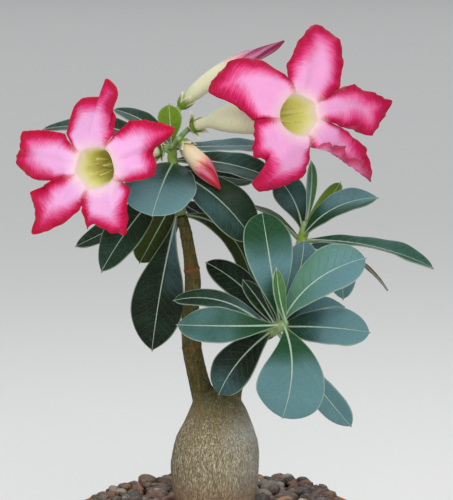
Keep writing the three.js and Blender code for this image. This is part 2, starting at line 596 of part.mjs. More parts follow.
// Each leaf: its shoot, how far along that it grows, a point it passes, its tip, its width,
// where it is widest, the way its upper face looks, and the fold (degrees) and wave (mm) of its blade.
const LEAVES = {
  front_tall: {
    shoot: 'front', along: 0.58, via: [22.7, -38, 192.5], tip: [19.2, -26, 213.5],
    width: 19, widest: 0.62, faces: [0.1, -1, 0.25], fold: 14, wave: 0.7, taper: 1.5,
  },
  front_young: {
    shoot: 'front', along: 1, via: [25.7, -46, 182.9], tip: [24.5, -46, 194.2],
    width: 6, widest: 0.6, faces: [0.6, -1, 0.1], fold: 20, wave: 0, young: true,
  },
  front_blue: {
    shoot: 'front', along: 0.28, via: [34.1, -24, 186.4], tip: [36.9, -12, 199.9],
    width: 14, widest: 0.62, faces: [-0.1, -1, 0.5], fold: 10, wave: 0.5,
  },
  front_pale: {
    shoot: 'front', along: 0.7, via: [40.4, -46, 188.6], tip: [60.7, -44, 197.5],
    width: 19, widest: 0.6, faces: [-0.35, -1, 0.6], fold: 15, wave: 0.8, taper: 1.6,
  },
  front_right: {
    shoot: 'front', along: 0.42, via: [46.6, -38, 167.9], tip: [63.1, -38, 165.9],
    width: 18, widest: 0.58, faces: [0.1, -1, 0.9], fold: 12, wave: 0.8,
  },
  front_right_upper: {
    shoot: 'front', along: 0.04, via: [41.3, -28, 173.0], tip: [53.7, -18, 172.8],
    width: 12, widest: 0.6, faces: [0.1, -0.8, 1], fold: 12, wave: 0.4,
  },
  front_broad: {
    shoot: 'front', along: 0.82, via: [30.7, -56, 153.8], tip: [26.9, -54, 134.2],
    width: 27, widest: 0.66, faces: [0, -1, 0.25], fold: 9, wave: 0.8,
  },
  front_low_right: {
    shoot: 'front', along: 0.3, via: [43.8, -32, 140.5], tip: [56.5, -28, 124.4],
    width: 12, widest: 0.7, faces: [-0.2, -1, -0.1], fold: 12, wave: 0.5,
  },
  front_low_left: {
    shoot: 'front', along: 0.25, via: [9.1, -29, 151.2], tip: [1.7, -25, 137.2],
    width: 17, widest: 0.62, faces: [-0.3, -1, 0.2], fold: 13, wave: 0.6,
  },
  front_left: {
    shoot: 'front', along: 0.7, via: [5.4, -44, 169.9], tip: [-15.5, -38, 169.2],
    width: 15, widest: 0.62, faces: [0, -1, 0.5], fold: 13, wave: 0.9,
  },
  front_left_behind: {
    shoot: 'front', along: 0, via: [0.9, -20, 176.1], tip: [-17.3, -15, 174.8],
    width: 8, widest: 0.62, faces: [-0.1, -1, 0.6], fold: 12, wave: 0.5,
  },
  front_dark: {
    shoot: 'front', along: 0.19, via: [8.8, -10, 181.9], tip: [-4.2, -2, 189.0],
    width: 12.5, widest: 0.62, faces: [-0.2, -1, 0.6], fold: 12, wave: 0.4,
  },
  front_inner_a: {
    shoot: 'front', along: 0.37, via: [19.4, -29, 175.5], tip: [11.4, -21, 184.8],
    width: 7, widest: 0.6, faces: [0.1, -1, 0.4], fold: 14, wave: 0.3,
  },
  front_inner_b: {
    shoot: 'front', along: 0.46, via: [23.2, -31, 179.0], tip: [18.6, -23, 188.7],
    width: 7, widest: 0.6, faces: [0.2, -1, 0.3], fold: 14, wave: 0.3,
  },
  right_long: {
    shoot: 'right', along: 0.34, via: [64.7, 6, 194.5], tip: [92.1, 0, 185.7],
    width: 12, widest: 0.6, faces: [0.1, -0.35, 1], fold: 24, wave: 0.8,
  },
  right_folded: {
    shoot: 'right', along: 0.41, via: [50.8, 3, 211.2], tip: [69.2, 8, 214.7],
    width: 12, widest: 0.58, faces: [-0.2, -1, 0.9], fold: 24, wave: 0.6,
  },
  right_young: {
    shoot: 'right', along: 0.76, via: [46.1, 9, 210.8], tip: [53.3, 11, 221.2],
    width: 6.5, widest: 0.6, faces: [-0.6, -1, 0.4], fold: 18, wave: 0, young: true,
  },
  right_teal: {
    shoot: 'right', along: 0.5, via: [34.1, 18, 211.3], tip: [26.0, 22, 222.4],
    width: 13, widest: 0.6, faces: [-0.1, -1, 0.4], fold: 14, wave: 0.5, taper: 1.7,
  },
  right_upright: {
    shoot: 'right', along: 1, via: [40.3, 12, 214.6], tip: [40.5, 10, 230.6],
    width: 5, widest: 0.6, faces: [0.4, -1, 0], fold: 18, wave: 0, young: true,
  },
  right_hanging: {
    shoot: 'right', along: 0.12, via: [50.0, 0, 188.7], tip: [53.6, -6, 173.1],
    width: 14, widest: 0.6, faces: [-0.1, -1, 0.4], fold: 14, wave: 0.5,
  },
  right_left: {
    shoot: 'right', along: 0.3, via: [25.5, 16, 204.8], tip: [14.0, 18, 210.4],
    width: 9, widest: 0.6, faces: [0.2, -0.15, 1], fold: 12, wave: 0.3,
  },
  right_low: {
    shoot: 'right', along: 0.04, via: [57.2, 22, 187.5], tip: [75.0, 26, 171.6],
    width: 4.5, widest: 0.55, faces: [0.4, -0.2, 1], fold: 20, wave: 0.3,
  },
  top_broad: {
    shoot: 'top', along: 0.66, via: [-21.3, -24, 223.9], tip: [-24.8, -42, 213.7],
    width: 29, widest: 0.6, faces: [0.05, -0.75, 1], fold: 9, wave: 0.8, blunt: 0.42,
  },
  top_left_low: {
    shoot: 'top', along: 0.5, via: [-37.3, -9, 201.9], tip: [-47.3, -11, 185.8],
    width: 17, widest: 0.6, faces: [-0.4, -1, 0.4], fold: 13, wave: 0.7,
  },
  top_left_small: {
    shoot: 'top', along: 0.4, via: [-40.2, 8, 203.6], tip: [-59.6, 10, 193.5],
    width: 12, widest: 0.6, faces: [-0.2, -0.8, 0.8], fold: 14, wave: 0.4,
  },
  top_olive: {
    shoot: 'top', along: 0.3, via: [-23.9, 12, 201.8], tip: [-32.7, 16, 185.2],
    width: 17, widest: 0.6, faces: [0.3, -1, -0.2], fold: 10, wave: 0.5,
  },
  top_hanging: {
    shoot: 'top', along: 0.12, via: [-23.4, 6, 173.5], tip: [-26.8, 2, 149.6],
    width: 23, widest: 0.67, faces: [-0.25, -1, 0.1], fold: 10, wave: 1.0,
  },
  top_front_right: {
    shoot: 'top', along: 0.55, via: [2.2, -14, 216.4], tip: [15.8, -12, 199.4],
    width: 20, widest: 0.6, faces: [0.2, -1, 0.6], fold: 14, wave: 0.8,
  },
  top_right_high: {
    shoot: 'top', along: 0.93, via: [4.2, 13, 235.9], tip: [22.9, 20, 235.3],
    width: 11, widest: 0.6, faces: [-0.1, -0.5, 1], fold: 12, wave: 0.5,
  },
  top_right: {
    shoot: 'top', along: 0.7, via: [9.1, -4, 229.5], tip: [25.2, -5, 223.8],
    width: 14, widest: 0.6, faces: [0.1, -0.8, 1], fold: 14, wave: 0.6,
  },
  top_right_behind: {
    shoot: 'top', along: 0.6, via: [0.0, 13, 223.4], tip: [16.7, 17, 220.4],
    width: 11, widest: 0.6, faces: [0.1, -0.7, 0.9], fold: 14, wave: 0.4,
  },
  top_behind: {
    shoot: 'top', along: 0.22, via: [-7.7, 12, 208.0], tip: [-1.8, 19, 204.5],
    width: 9, widest: 0.62, faces: [-0.2, -1, 0.6], fold: 12, wave: 0.3,
  },
  top_arching: {
    shoot: 'top', along: 0, via: [3.8, 10, 200.8], tip: [16.1, 8, 175.3],
    width: 11, widest: 0.62, faces: [0.6, -1, 0.3], fold: 12, wave: 0.5,
  },
  top_long_left: {
    shoot: 'top', along: 0.8, via: [-46.7, 18, 243.4], tip: [-74.3, 26, 241.8],
    width: 13, widest: 0.6, faces: [-0.1, -0.5, 1], fold: 14, wave: 0.8,
  },
  top_left_back: {
    shoot: 'top', along: 0.9, via: [-31.5, 10, 247.6], tip: [-43.4, 14, 251.6],
    width: 10, widest: 0.6, faces: [0.1, -0.6, 1], fold: 12, wave: 0.4,
  },
  top_round: {
    shoot: 'top', along: 0.98, via: [-18.3, -12, 250.0], tip: [-18.7, -13, 256.7],
    width: 10, widest: 0.72, faces: [-0.1, -1, 0.3], fold: 8, wave: 0, young: true,
  },
};

const LEAF_STATIONS = [0, 0.15, 0.33, 0.52, 0.71, 0.88, 1];
const LEAF_COLUMNS = 4;
const LEAF_BLUNTNESS = 0.6;      // under 1 the tip is round; a leaf can state its own as blunt
const LEAF_TAPER = 1.2;          // over 1 the base is drawn out
const LEAF_WAVES = 1.6;          // waves along each edge

// The midrib: from inside its shoot, past a point on the way, to the tip.
function midrib(leaf) {
  const shoot = new THREE.CatmullRomCurve3(SHOOTS[leaf.shoot].map(from));
  const root = shoot.getPoint(leaf.along);
  const [via, tip] = [from(leaf.via), from(leaf.tip)];
  const share = root.distanceTo(via) / (root.distanceTo(via) + via.distanceTo(tip));
  const knee = via.clone().addScaledVector(root, -((1 - share) ** 2)).addScaledVector(tip, -(share ** 2))
    .divideScalar(2 * share * (1 - share));
  return new THREE.QuadraticBezierCurve3(root, knee, tip);
}

function halfWidth(leaf, share) {
  const blunt = leaf.blunt ?? LEAF_BLUNTNESS;
  const rise = (leaf.taper ?? LEAF_TAPER) * blunt * leaf.widest / (1 - leaf.widest);
  const shape = (share / leaf.widest) ** rise * ((1 - share) / (1 - leaf.widest)) ** blunt;
  return Math.max(leaf.width / 2 * shape, share > 0.5 ? 0.45 : PETIOLE / 2);
}

function blade(leaf) {
  const rib = midrib(leaf);
  const faces = from(leaf.faces);
  const fold = THREE.MathUtils.degToRad(leaf.fold);
  const points = [];
  const thickness = [];
  for (const share of LEAF_STATIONS) {
    const tangent = rib.getTangent(share);
    const across = faces.clone().cross(tangent).normalize();
    const outward = tangent.clone().cross(across);
    const half = halfWidth(leaf, share);
    for (let j = 0; j <= LEAF_COLUMNS; j++) {
      const side = 2 * j / LEAF_COLUMNS - 1;
      const wave = leaf.wave * (2 * half / leaf.width) * side * side
        * Math.sin(TAU * LEAF_WAVES * share + (side > 0 ? 0 : 2));
      points.push(rib.getPoint(share).addScaledVector(across, half * side * Math.cos(fold))
        .addScaledVector(outward, half * Math.abs(side) * Math.sin(fold) + wave));
      const neck = Math.exp(-share / 0.12);
      thickness.push(BLADE + (PETIOLE - BLADE) * neck + (j === LEAF_COLUMNS / 2 ? 0.5 * (1 - share) : 0));
    }
  }
  return thicken(points, gridTriangles(LEAF_STATIONS.length - 1, LEAF_COLUMNS), thickness);
}

// ---------- the plant and its pot ----------

const group = new THREE.Group();

function place(name, manifold, material) {
  const mesh = new THREE.Mesh(geometryOf(manifold), material);
  mesh.name = name;
  group.add(mesh);
}

place('pot', pot(), TERRACOTTA);
place('soil', soil(), SOIL);
place('gravel', gravel(), GRAVEL);
place('caudex', join([caudexBody(), woodyStems(0)]), BARK);
place('shoot_front', stem(SHOOTS.front), SHOOT);
place('shoot_right', stem(SHOOTS.right), SHOOT);
place('flower_stalks', flowerStalks(), SHOOT);

for (const [side, bloom] of Object.entries(BLOOMS)) {
  place(`bloom_${side}`, corolla(bloom), PETAL_PINK);
  place(`stamens_${side}`, stamens(bloom), STAMEN);
  place(`calyx_${side}`, calyx(bloom.foot, bloom.leaves, 5.6), SEPAL);
}
place('bud_tall', bud(TALL_BUD.stations, 2.4), PETAL_PINK);
place('bud_small', bud(SMALL_BUD.stations, 2.0), PETAL_PINK);
place('calyx_bud_tall', calyx(TALL_BUD.foot, TALL_BUD.leaves, 3.6, 5.5), SEPAL);
place('calyx_bud_small', calyx(SMALL_BUD.foot, SMALL_BUD.leaves, 4.2, 5), SEPAL);

const carriers = join([
  woodyStems(GAP), stem(SHOOTS.front, 10, GAP), stem(SHOOTS.right, 10, GAP), flowerStalks(GAP),
]);
for (const [name, leaf] of Object.entries(LEAVES)) {
  place(`leaf_${name}`, largest(blade(leaf).subtract(carriers)), leaf.young ? YOUNG_LEAF : LEAF);
}

export default group;
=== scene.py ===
"""A potted desert rose: the fine surfaces of the plant, its gravel and its pot, and the stage it
stands on. Tables are in millimetres, +Z up, with the origin in the middle of the pot's foot;
meshes are in metres."""
import math
import random
from dataclasses import dataclass

import bmesh
import bpy
import numpy as np
from bpy.props import FloatProperty, FloatVectorProperty, IntProperty, PointerProperty
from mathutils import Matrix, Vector, noise


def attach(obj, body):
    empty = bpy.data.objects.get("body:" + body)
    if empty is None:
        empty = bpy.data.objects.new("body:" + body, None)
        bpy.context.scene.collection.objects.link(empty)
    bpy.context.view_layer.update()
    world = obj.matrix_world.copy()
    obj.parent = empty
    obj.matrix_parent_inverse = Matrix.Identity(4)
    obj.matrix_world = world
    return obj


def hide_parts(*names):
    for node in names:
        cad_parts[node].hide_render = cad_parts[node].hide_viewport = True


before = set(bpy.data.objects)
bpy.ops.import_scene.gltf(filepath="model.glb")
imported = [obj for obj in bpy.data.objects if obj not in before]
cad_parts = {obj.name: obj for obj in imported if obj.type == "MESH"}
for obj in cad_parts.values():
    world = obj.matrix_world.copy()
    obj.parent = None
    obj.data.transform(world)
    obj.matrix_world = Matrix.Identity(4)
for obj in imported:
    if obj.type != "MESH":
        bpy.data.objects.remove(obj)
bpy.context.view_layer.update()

bl_info = {
    "name": "Potted desert rose",
    "version": (1, 0, 0),
    "blender": (4, 5, 0),
    "location": "3D View > Sidebar > Desert rose",
    "description": "Builds the caudex, leaves, blooms, gravel and pot of a desert rose",
    "category": "Add Mesh",
}

MM = 0.001
TAU = math.tau
NEARLY_ONE = 1 - 1e-4            # a blade's last row lies just short of its tip, not at a point
VEIN_SLANT = 0.8                 # how far toward the tip a leaf's side vein runs for 1 mm outward

# ---------- the plant's dimensions ----------

CAUDEX_DEPTH = 0.94              # front to back, as a share of its width

# (height, middle x, half width), from under the soil to the shoulder
CAUDEX = [
    (66, 0.3, 12), (76, 0.2, 15.2), (85, 0.2, 17.0), (94, 0.1, 18.2), (103, 0.3, 18.4),
    (111.5, 0.7, 17.2), (118, 1.1, 14.8), (124.5, 1.4, 12.2), (129, 1.2, 10.3), (134, 0.8, 7.4),
]

# Woody stems: (x, y, z, radius)
TRUNK = [
    (-1.6, 0, 116, 8.5), (-4.0, 0, 128, 5.6), (-6.2, 0, 135, 4.6), (-8.2, 0, 143, 4.3),
    (-10.0, 0, 153, 4.1), (-10.3, 0, 166, 3.7), (-9.3, 0, 178.8, 3.4), (-10.1, 0, 188.7, 3.0),
    (-12.2, 0, 200.6, 2.7), (-14.2, 0, 208.4, 2.6),
]
SECOND_STEM = [
    (4.2, 0, 118, 7.6), (6.8, -1, 131, 4.6), (10.0, -4, 142, 3.5), (13.2, -9, 151.5, 3.2),
    (18.0, -18, 159.5, 2.9), (22.8, -26.4, 164.2, 2.7),
]
SIDE_STEM = [
    (12.0, -6.6, 149.5, 2.4), (16.8, -3, 156.5, 2.8), (25.4, 2, 166, 2.6), (32.4, 8, 178, 2.4),
    (35.8, 12, 190.4, 2.3),
]

# Green shoots, the leafy ends of the stems: (x, y, z, radius)
SHOOTS = {
    "front": [(22.8, -26.5, 164.2, 2.6), (25.0, -32, 166.6, 2.5), (27.0, -37.5, 168.8, 2.2),
              (28.6, -42, 170.8, 1.3)],
    "right": [(35.9, 12, 190.9, 2.3), (36.8, 12, 195.5, 2.3), (37.8, 11.6, 200, 2.1),
              (38.6, 11.2, 204.5, 1.2)],
    "top": [(-14.3, 0, 208.6, 2.5), (-15.6, 0, 216, 2.4), (-16.8, -0.4, 225, 2.2),
            (-17.6, -1.4, 233, 2.1), (-18.0, -2, 238.2, 1.9)],
}
CROWN = (-18.0, -2, 237.0)       # where the flower stalks part


@dataclass
class Bloom:
    """An open bloom. It sits at foot on a stalk that goes past a point. leaves is the way its tube
    sets out, and faces the way its mouth looks. petals goes round anticlockwise from the right, as
    seen from the front: each is the points of its end, (across, up, forward) from the middle of the
    mouth. frills is how strongly each one's edge waves. folds gives, for a petal's number, a crease
    in (across, up), how many degrees the part on its right, seen along it, turns forward, and how
    unevenly. blush is how much deeper its colours are."""

    foot: tuple
    past: tuple
    leaves: tuple
    mouth: tuple
    faces: tuple
    petals: list
    frills: tuple
    folds: dict
    blush: float = 0


@dataclass
class Bud:
    """A furled bud on a stalk like a bloom's, along stations of (x, y, z, radius). twist winds its
    petals, which show from furl on. Round blush, their colour turns from the base's through the
    middle one to the tip's."""

    foot: tuple
    past: tuple
    leaves: tuple
    stations: list
    twist: float
    furl: float
    blush: float
    base: str
    middle: str
    tip: str


@dataclass
class Leaf:
    """A leaf of the shoot that its name starts with: how far along that it grows, a point it
    passes, its tip and width, where it is widest, the way its upper face looks, the fold (degrees)
    and wave (mm) of its blade, its colour, and how much bluish sheen is painted on it at its base,
    middle and tip. lean moves that painted sheen to one half, and sharp and taper narrow the
    blade's tip and its base."""

    along: float
    past: tuple
    tip: tuple
    width: float
    widest: float
    faces: tuple
    fold: float
    wave: float
    tone: str
    painted_sheen: tuple
    lean: float = 0
    sharp: float = 0.6
    taper: float = 1.2


BLOOMS = {
    "left": Bloom(
        foot=(-21.6, -14, 237.5), past=(-19.7, -8, 238.1), leaves=(-0.72, -0.68, -0.12),
        mouth=(-47.0, -46, 233.8), faces=(-0.35, -0.93, 0.05),
        petals=[
            [(13.4, -5.1, -2), (21.9, -2.9, -4), (25.2, 2.0, -3), (22.1, 7.2, -6),
             (32.6, 15.9, -4), (21.5, 19.1, -4), (13.4, 19.0, -3)],
            [(8.4, 16.6, 0), (11.6, 20.4, 2), (8.8, 24.6, 3), (12.4, 26.8, 4), (14.0, 29.8, 4),
             (12.4, 32.2, 4), (8.4, 34.2, 3), (4.2, 34.9, 1), (4.2, 28.6, -1), (0.2, 27.9, -2),
             (-7.4, 27.2, -4), (-11.6, 23.9, -5), (-13.3, 18.3, -4)],
            [(-22.0, 14.1, -3), (-34.6, 12.7, -6), (-34.9, 6.7, -5), (-38.6, 2.0, -8),
             (-34.0, -3.8, -6), (-27.2, -6.4, -5)],
            [(-23.1, -8.6, -2), (-30.8, -12.0, -5), (-28.0, -19.1, -4), (-30.7, -28.4, -7),
             (-18.2, -24.3, -5), (-9.9, -18.6, -4)],
            [(-5.5, -17.8, -2), (-5.2, -24.9, -5), (-1.8, -22.6, -3), (6.4, -25.9, -5),
             (11.4, -25.8, -6), (12.2, -15.6, -4), (12.6, -7.8, -5)],
        ],
        frills=(0.8, 0.15, 0.7, 0.7, 0.8),
        folds={1: ([(5.2, 10.0), (6.4, 18.0), (6.0, 36.0)], 28, 0)},
    ),
    "right": Bloom(
        foot=(-9.8, -6, 245.7), past=(-14.2, -4, 241.8), leaves=(0.66, -0.6, 0.36),
        mouth=(33.9, -28, 253.1), faces=(0.40, -0.90, 0.19),
        petals=[
            [(24.0, -5.0, -3), (35.0, -9.3, -6), (40.2, -2.6, -5), (46.6, 4.2, -8),
             (36.5, 8.3, -5), (28.6, 12.2, -5)],
            [(20.6, 13.2, -3), (24.4, 23.1, -5), (23.0, 32.4, -7), (13.9, 37.3, -8),
             (6.0, 31.0, -6), (-0.8, 20.4, -5)],
            [(-3.8, 16.6, -3), (-12.6, 22.6, -4), (-23.1, 24.0, -6), (-31.0, 18.3, -7),
             (-36.3, 11.2, -6), (-26.6, 7.5, -5)],
            [(-20.3, -10.5, -3), (-20.3, -15.8, -2), (-14.3, -17.9, -4), (-20.3, -26.0, -5),
             (-16.2, -29.7, -6), (0.7, -25.4, -5), (5.6, -19.6, -5)],
            [(6.4, -15.4, -2), (8.8, -19.2, -1), (12.6, -18.0, -1), (14.4, -22.0, -2),
             (18.4, -21.0, -3), (21.6, -25.6, -4), (25.5, -28.6, -6), (34.5, -27.8, -9),
             (34.6, -21.5, -7), (31.6, -14.6, -5), (26.2, -8.6, -6)],
        ],
        frills=(0.9, 0.7, 0.6, 0.8, 1.1),
        folds={4: ([(4.0, -12.6), (14.4, -16.2), (20.5, -20.0), (36.5, -29.0)], 145, 0.5)},
        blush=0.16,
    ),
}

BUDS = {
    "tall": Bud(
        foot=(-14.4, 1.8, 253.6), past=(-17.4, 0.6, 246), leaves=(0.62, 0.1, 0.78),
        stations=[
            (-13.8, 2.0, 254.4, 1.6), (-10.6, 2.5, 257.6, 2.6), (-7.0, 3.0, 260.8, 3.4),
            (-0.4, 4.0, 266.0, 3.6), (6.7, 5.8, 270.6, 3.3), (14.2, 8, 273.9, 2.9),
            (19.7, 10, 275.9, 2.4), (25.2, 12, 278.1, 1.6), (29.0, 14, 280.5, 0.4),
        ],
        twist=2.4, furl=0.42, blush=0.52, base="celery", middle="dusk", tip="wine",
    ),
    "small": Bud(
        foot=(-13.9, -8.6, 240.6), past=(-16.0, -6.0, 240.2), leaves=(0.62, -0.45, -0.64),
        stations=[
            (-13.3, -9.0, 239.9, 1.6), (-10.6, -10.6, 236.7, 3.2), (-7.3, -12.0, 233.1, 4.0),
            (-4.4, -13.0, 229.9, 4.1), (-1.5, -14.0, 226.3, 2.9), (2.2, -15.2, 221.5, 0.4),
        ],
        twist=1.1, furl=0.4, blush=0.48, base="straw", middle="salmon", tip="ruby",
    ),
}

# Calyces: what carries each, and how far its sepals spread and rise
CALYX_SHAPES = {
    "left": (6.4, 4.2), "right": (6.4, 4.2), "bud_tall": (3.8, 5.8), "bud_small": (4.2, 5.0),
}

# Each leaf's first row says where it lies and its width, the second how it looks
LEAVES = {
    "front_tall": Leaf(0.58, (22.7, -38, 192.5), (19.2, -26, 213.5), 19, 0.62,
        (0.1, -1, 0.25), 14, 0.7, "teal", (0.1, 0.7, 0.15), taper=1.5),
    "front_young": Leaf(1, (25.7, -46, 182.9), (24.5, -46, 194.2), 6, 0.6,
        (0.6, -1, 0.1), 20, 0, "fresh", (0.0, 0.0, 0.0)),
    "front_blue": Leaf(0.28, (34.1, -24, 186.4), (36.9, -12, 199.9), 14, 0.62,
        (-0.1, -1, 0.5), 10, 0.5, "blue", (0.3, 0.55, 0.55)),
    "front_pale": Leaf(0.7, (40.4, -46, 188.6), (60.7, -44, 197.5), 19, 0.6,
        (-0.35, -1, 0.6), 15, 0.8, "pale", (0.1, 0.45, 0.75), lean=-0.3, taper=1.6),
    "front_right": Leaf(0.42, (46.6, -38, 167.9), (63.1, -38, 165.9), 18, 0.58,
        (0.1, -1, 0.9), 12, 0.8, "blue", (0.05, 0.55, 0.85)),
    "front_right_upper": Leaf(0.04, (41.3, -28, 173.0), (53.7, -18, 172.8), 12, 0.6,
        (0.1, -0.8, 1), 12, 0.4, "blue", (0.3, 0.7, 0.8)),
    "front_broad": Leaf(0.82, (30.7, -56, 153.8), (26.9, -54, 134.2), 27, 0.66,
        (0, -1, 0.25), 9, 0.8, "teal", (0.0, 0.55, 0.8)),
    "front_low_right": Leaf(0.3, (43.8, -32, 140.5), (56.5, -28, 124.4), 12, 0.7,
        (-0.2, -1, -0.1), 12, 0.5, "blue", (0.6, 0.8, 0.9), sharp=0.75),
    "front_low_left": Leaf(0.25, (9.1, -29, 151.2), (1.7, -25, 137.2), 17, 0.62,
        (-0.3, -1, 0.2), 13, 0.6, "night", (0.0, 0.15, 0.4)),
    "front_left": Leaf(0.7, (5.4, -44, 169.9), (-15.5, -38, 169.2), 15, 0.62,
        (0, -1, 0.5), 13, 0.9, "teal", (0.1, 0.4, 0.45), sharp=0.72),
    "front_left_behind": Leaf(0, (0.9, -20, 176.1), (-17.3, -15, 174.8), 8, 0.62,
        (-0.1, -1, 0.6), 12, 0.5, "deep", (0.5, 0.35, 0.2), sharp=0.48),
    "front_dark": Leaf(0.19, (8.8, -10, 181.9), (-4.2, -2, 189.0), 12.5, 0.62,
        (-0.2, -1, 0.6), 12, 0.4, "night", (0.0, 0.0, 0.0)),
    "front_inner_a": Leaf(0.37, (19.4, -29, 175.5), (11.4, -21, 184.8), 7, 0.6,
        (0.1, -1, 0.4), 14, 0.3, "deep", (0.0, 0.1, 0.1)),
    "front_inner_b": Leaf(0.46, (23.2, -31, 179.0), (18.6, -23, 188.7), 7, 0.6,
        (0.2, -1, 0.3), 14, 0.3, "deep", (0.0, 0.1, 0.1)),
    "right_long": Leaf(0.34, (64.7, 6, 194.5), (92.1, 0, 185.7), 12, 0.6,
        (0.1, -0.35, 1), 24, 0.8, "teal", (0.2, 0.35, 0.35)),
    "right_folded": Leaf(0.41, (50.8, 3, 211.2), (69.2, 8, 214.7), 12, 0.58,
        (-0.2, -1, 0.9), 24, 0.6, "teal", (0.0, 0.45, 0.8), lean=0.5, sharp=0.75),
    "right_young": Leaf(0.76, (46.1, 9, 210.8), (53.3, 11, 221.2), 8, 0.6,
        (-0.6, -1, 0.4), 18, 0, "young", (0.0, 0.0, 0.0), sharp=0.42),
    "right_teal": Leaf(0.5, (34.1, 18, 211.3), (26.0, 22, 222.4), 13, 0.6,
        (-0.1, -1, 0.4), 14, 0.5, "deep", (0.1, 0.45, 0.4), taper=1.7),
    "right_upright": Leaf(1, (40.3, 12, 214.6), (40.5, 10, 230.6), 5, 0.6,
        (0.4, -1, 0), 18, 0, "fresh", (0.5, 0.5, 0.3), lean=1),
    "right_hanging": Leaf(0.12, (50.0, 0, 188.7), (53.6, -6, 173.1), 14, 0.6,
        (-0.1, -1, 0.4), 14, 0.5, "blue", (0.3, 0.5, 0.7)),
    "right_left": Leaf(0.3, (25.5, 16, 204.8), (14.0, 18, 210.4), 9, 0.6,
        (0.2, -0.15, 1), 12, 0.3, "olive", (0.0, 0.2, 0.2)),
    "right_low": Leaf(0.04, (57.2, 22, 187.5), (75.0, 26, 171.6), 4.5, 0.55,
        (0.4, -0.2, 1), 20, 0.3, "withered", (0.0, 0.0, 0.0)),
    "top_broad": Leaf(0.66, (-21.3, -24, 223.9), (-24.8, -42, 213.7), 29, 0.6,
        (0.05, -0.75, 1), 9, 0.8, "blue", (0.1, 0.5, 1.0), sharp=0.42),
    "top_left_low": Leaf(0.5, (-37.3, -9, 201.9), (-47.3, -11, 185.8), 17, 0.6,
        (-0.4, -1, 0.4), 13, 0.7, "deep", (0.0, 0.1, 0.25), sharp=0.8),
    "top_left_small": Leaf(0.4, (-40.2, 8, 203.6), (-59.6, 10, 193.5), 12, 0.6,
        (-0.2, -0.8, 0.8), 14, 0.4, "deep", (0.1, 0.1, 0.2)),
    "top_olive": Leaf(0.3, (-23.9, 12, 201.8), (-32.7, 16, 185.2), 17, 0.6,
        (0.3, -1, -0.2), 10, 0.5, "olive", (0.0, 0.0, 0.0)),
    "top_hanging": Leaf(0.12, (-23.4, 6, 173.5), (-26.8, 2, 149.6), 23, 0.67,
        (-0.25, -1, 0.1), 10, 1.0, "night", (0.4, 0.25, 0.0), lean=1, sharp=0.85),
    "top_front_right": Leaf(0.55, (2.2, -14, 216.4), (15.8, -12, 199.4), 20, 0.6,
        (0.2, -1, 0.6), 14, 0.8, "deep", (0.3, 0.3, 0.25), lean=-1),
    "top_right_high": Leaf(0.93, (4.2, 13, 235.9), (22.9, 20, 235.3), 11, 0.6,
        (-0.1, -0.5, 1), 12, 0.5, "blue", (0.3, 0.55, 0.5)),
    "top_right": Leaf(0.7, (9.1, -4, 229.5), (25.2, -5, 223.8), 14, 0.6,
        (0.1, -0.8, 1), 14, 0.6, "deep", (0.1, 0.35, 0.3)),
    "top_right_behind": Leaf(0.6, (0.0, 13, 223.4), (16.7, 17, 220.4), 11, 0.6,
        (0.1, -0.7, 0.9), 14, 0.4, "deep", (0.1, 0.2, 0.2)),
    "top_behind": Leaf(0.22, (-7.7, 12, 208.0), (-1.8, 19, 204.5), 9, 0.62,
        (-0.2, -1, 0.6), 12, 0.3, "night", (0.0, 0.0, 0.0)),
    "top_arching": Leaf(0, (3.8, 10, 200.8), (16.1, 8, 175.3), 11, 0.62,
        (0.6, -1, 0.3), 12, 0.5, "olive", (0.0, 0.0, 0.0)),
    "top_long_left": Leaf(0.8, (-46.7, 18, 243.4), (-74.3, 26, 241.8), 13, 0.6,
        (-0.1, -0.5, 1), 14, 0.8, "deep", (0.1, 0.2, 0.3)),
    "top_left_back": Leaf(0.9, (-31.5, 10, 247.6), (-43.4, 14, 251.6), 10, 0.6,
        (0.1, -0.6, 1), 12, 0.4, "deep", (0.1, 0.2, 0.3)),
    "top_round": Leaf(0.98, (-18.3, -12, 250.0), (-18.7, -13, 256.7), 10, 0.72,
        (-0.1, -1, 0.3), 8, 0, "young", (0.0, 0.0, 0.0)),
}


def shade(code):
    """The linear colour of a web colour code."""
    parts = [(code >> shift & 255) / 255 for shift in (16, 8, 0)]
    return tuple(p / 12.92 if p <= 0.04045 else ((p + 0.055) / 1.055) ** 2.4 for p in parts)


# Colours that no setting changes
UNDER_SOIL = shade(0x4A3526)
POLLEN = shade(0x7C8030)
STONE_GRAIN, STONE_SPECK, STONE_VEIN = shade(0xE3D6C2), shade(0x3A2C22), shade(0xB98A62)
GRIT_DARK, GRIT_PALE = shade(0x2A1D14), shade(0x6A5340)
CLAY_DARK, CLAY_RING, CLAY_GRAIN = shade(0x8A4526), shade(0xD08A5C), shade(0x6E3A22)
SOIL_DARK, SOIL_PALE = shade(0x1E140D), shade(0x54402E)
FLOOR_SHADE = shade(0xE2E1DE)


# ---------- settings ----------

def length(name, description, default, low, high):
    """A size in millimetres."""
    return FloatProperty(name=name, description=description + ", in millimetres",
                         default=default, min=low, max=high, precision=2)


def colour(name, description, code):
    """A colour, by its web code."""
    return FloatVectorProperty(name=name, description=description, default=shade(code),
                               size=3, min=0, max=1, subtype="COLOR")


def power(name, description, default, high=500):
    """The power of a light."""
    return FloatProperty(name=name, description=description + ", in watts", default=default,
                         min=0, max=high, unit="POWER")


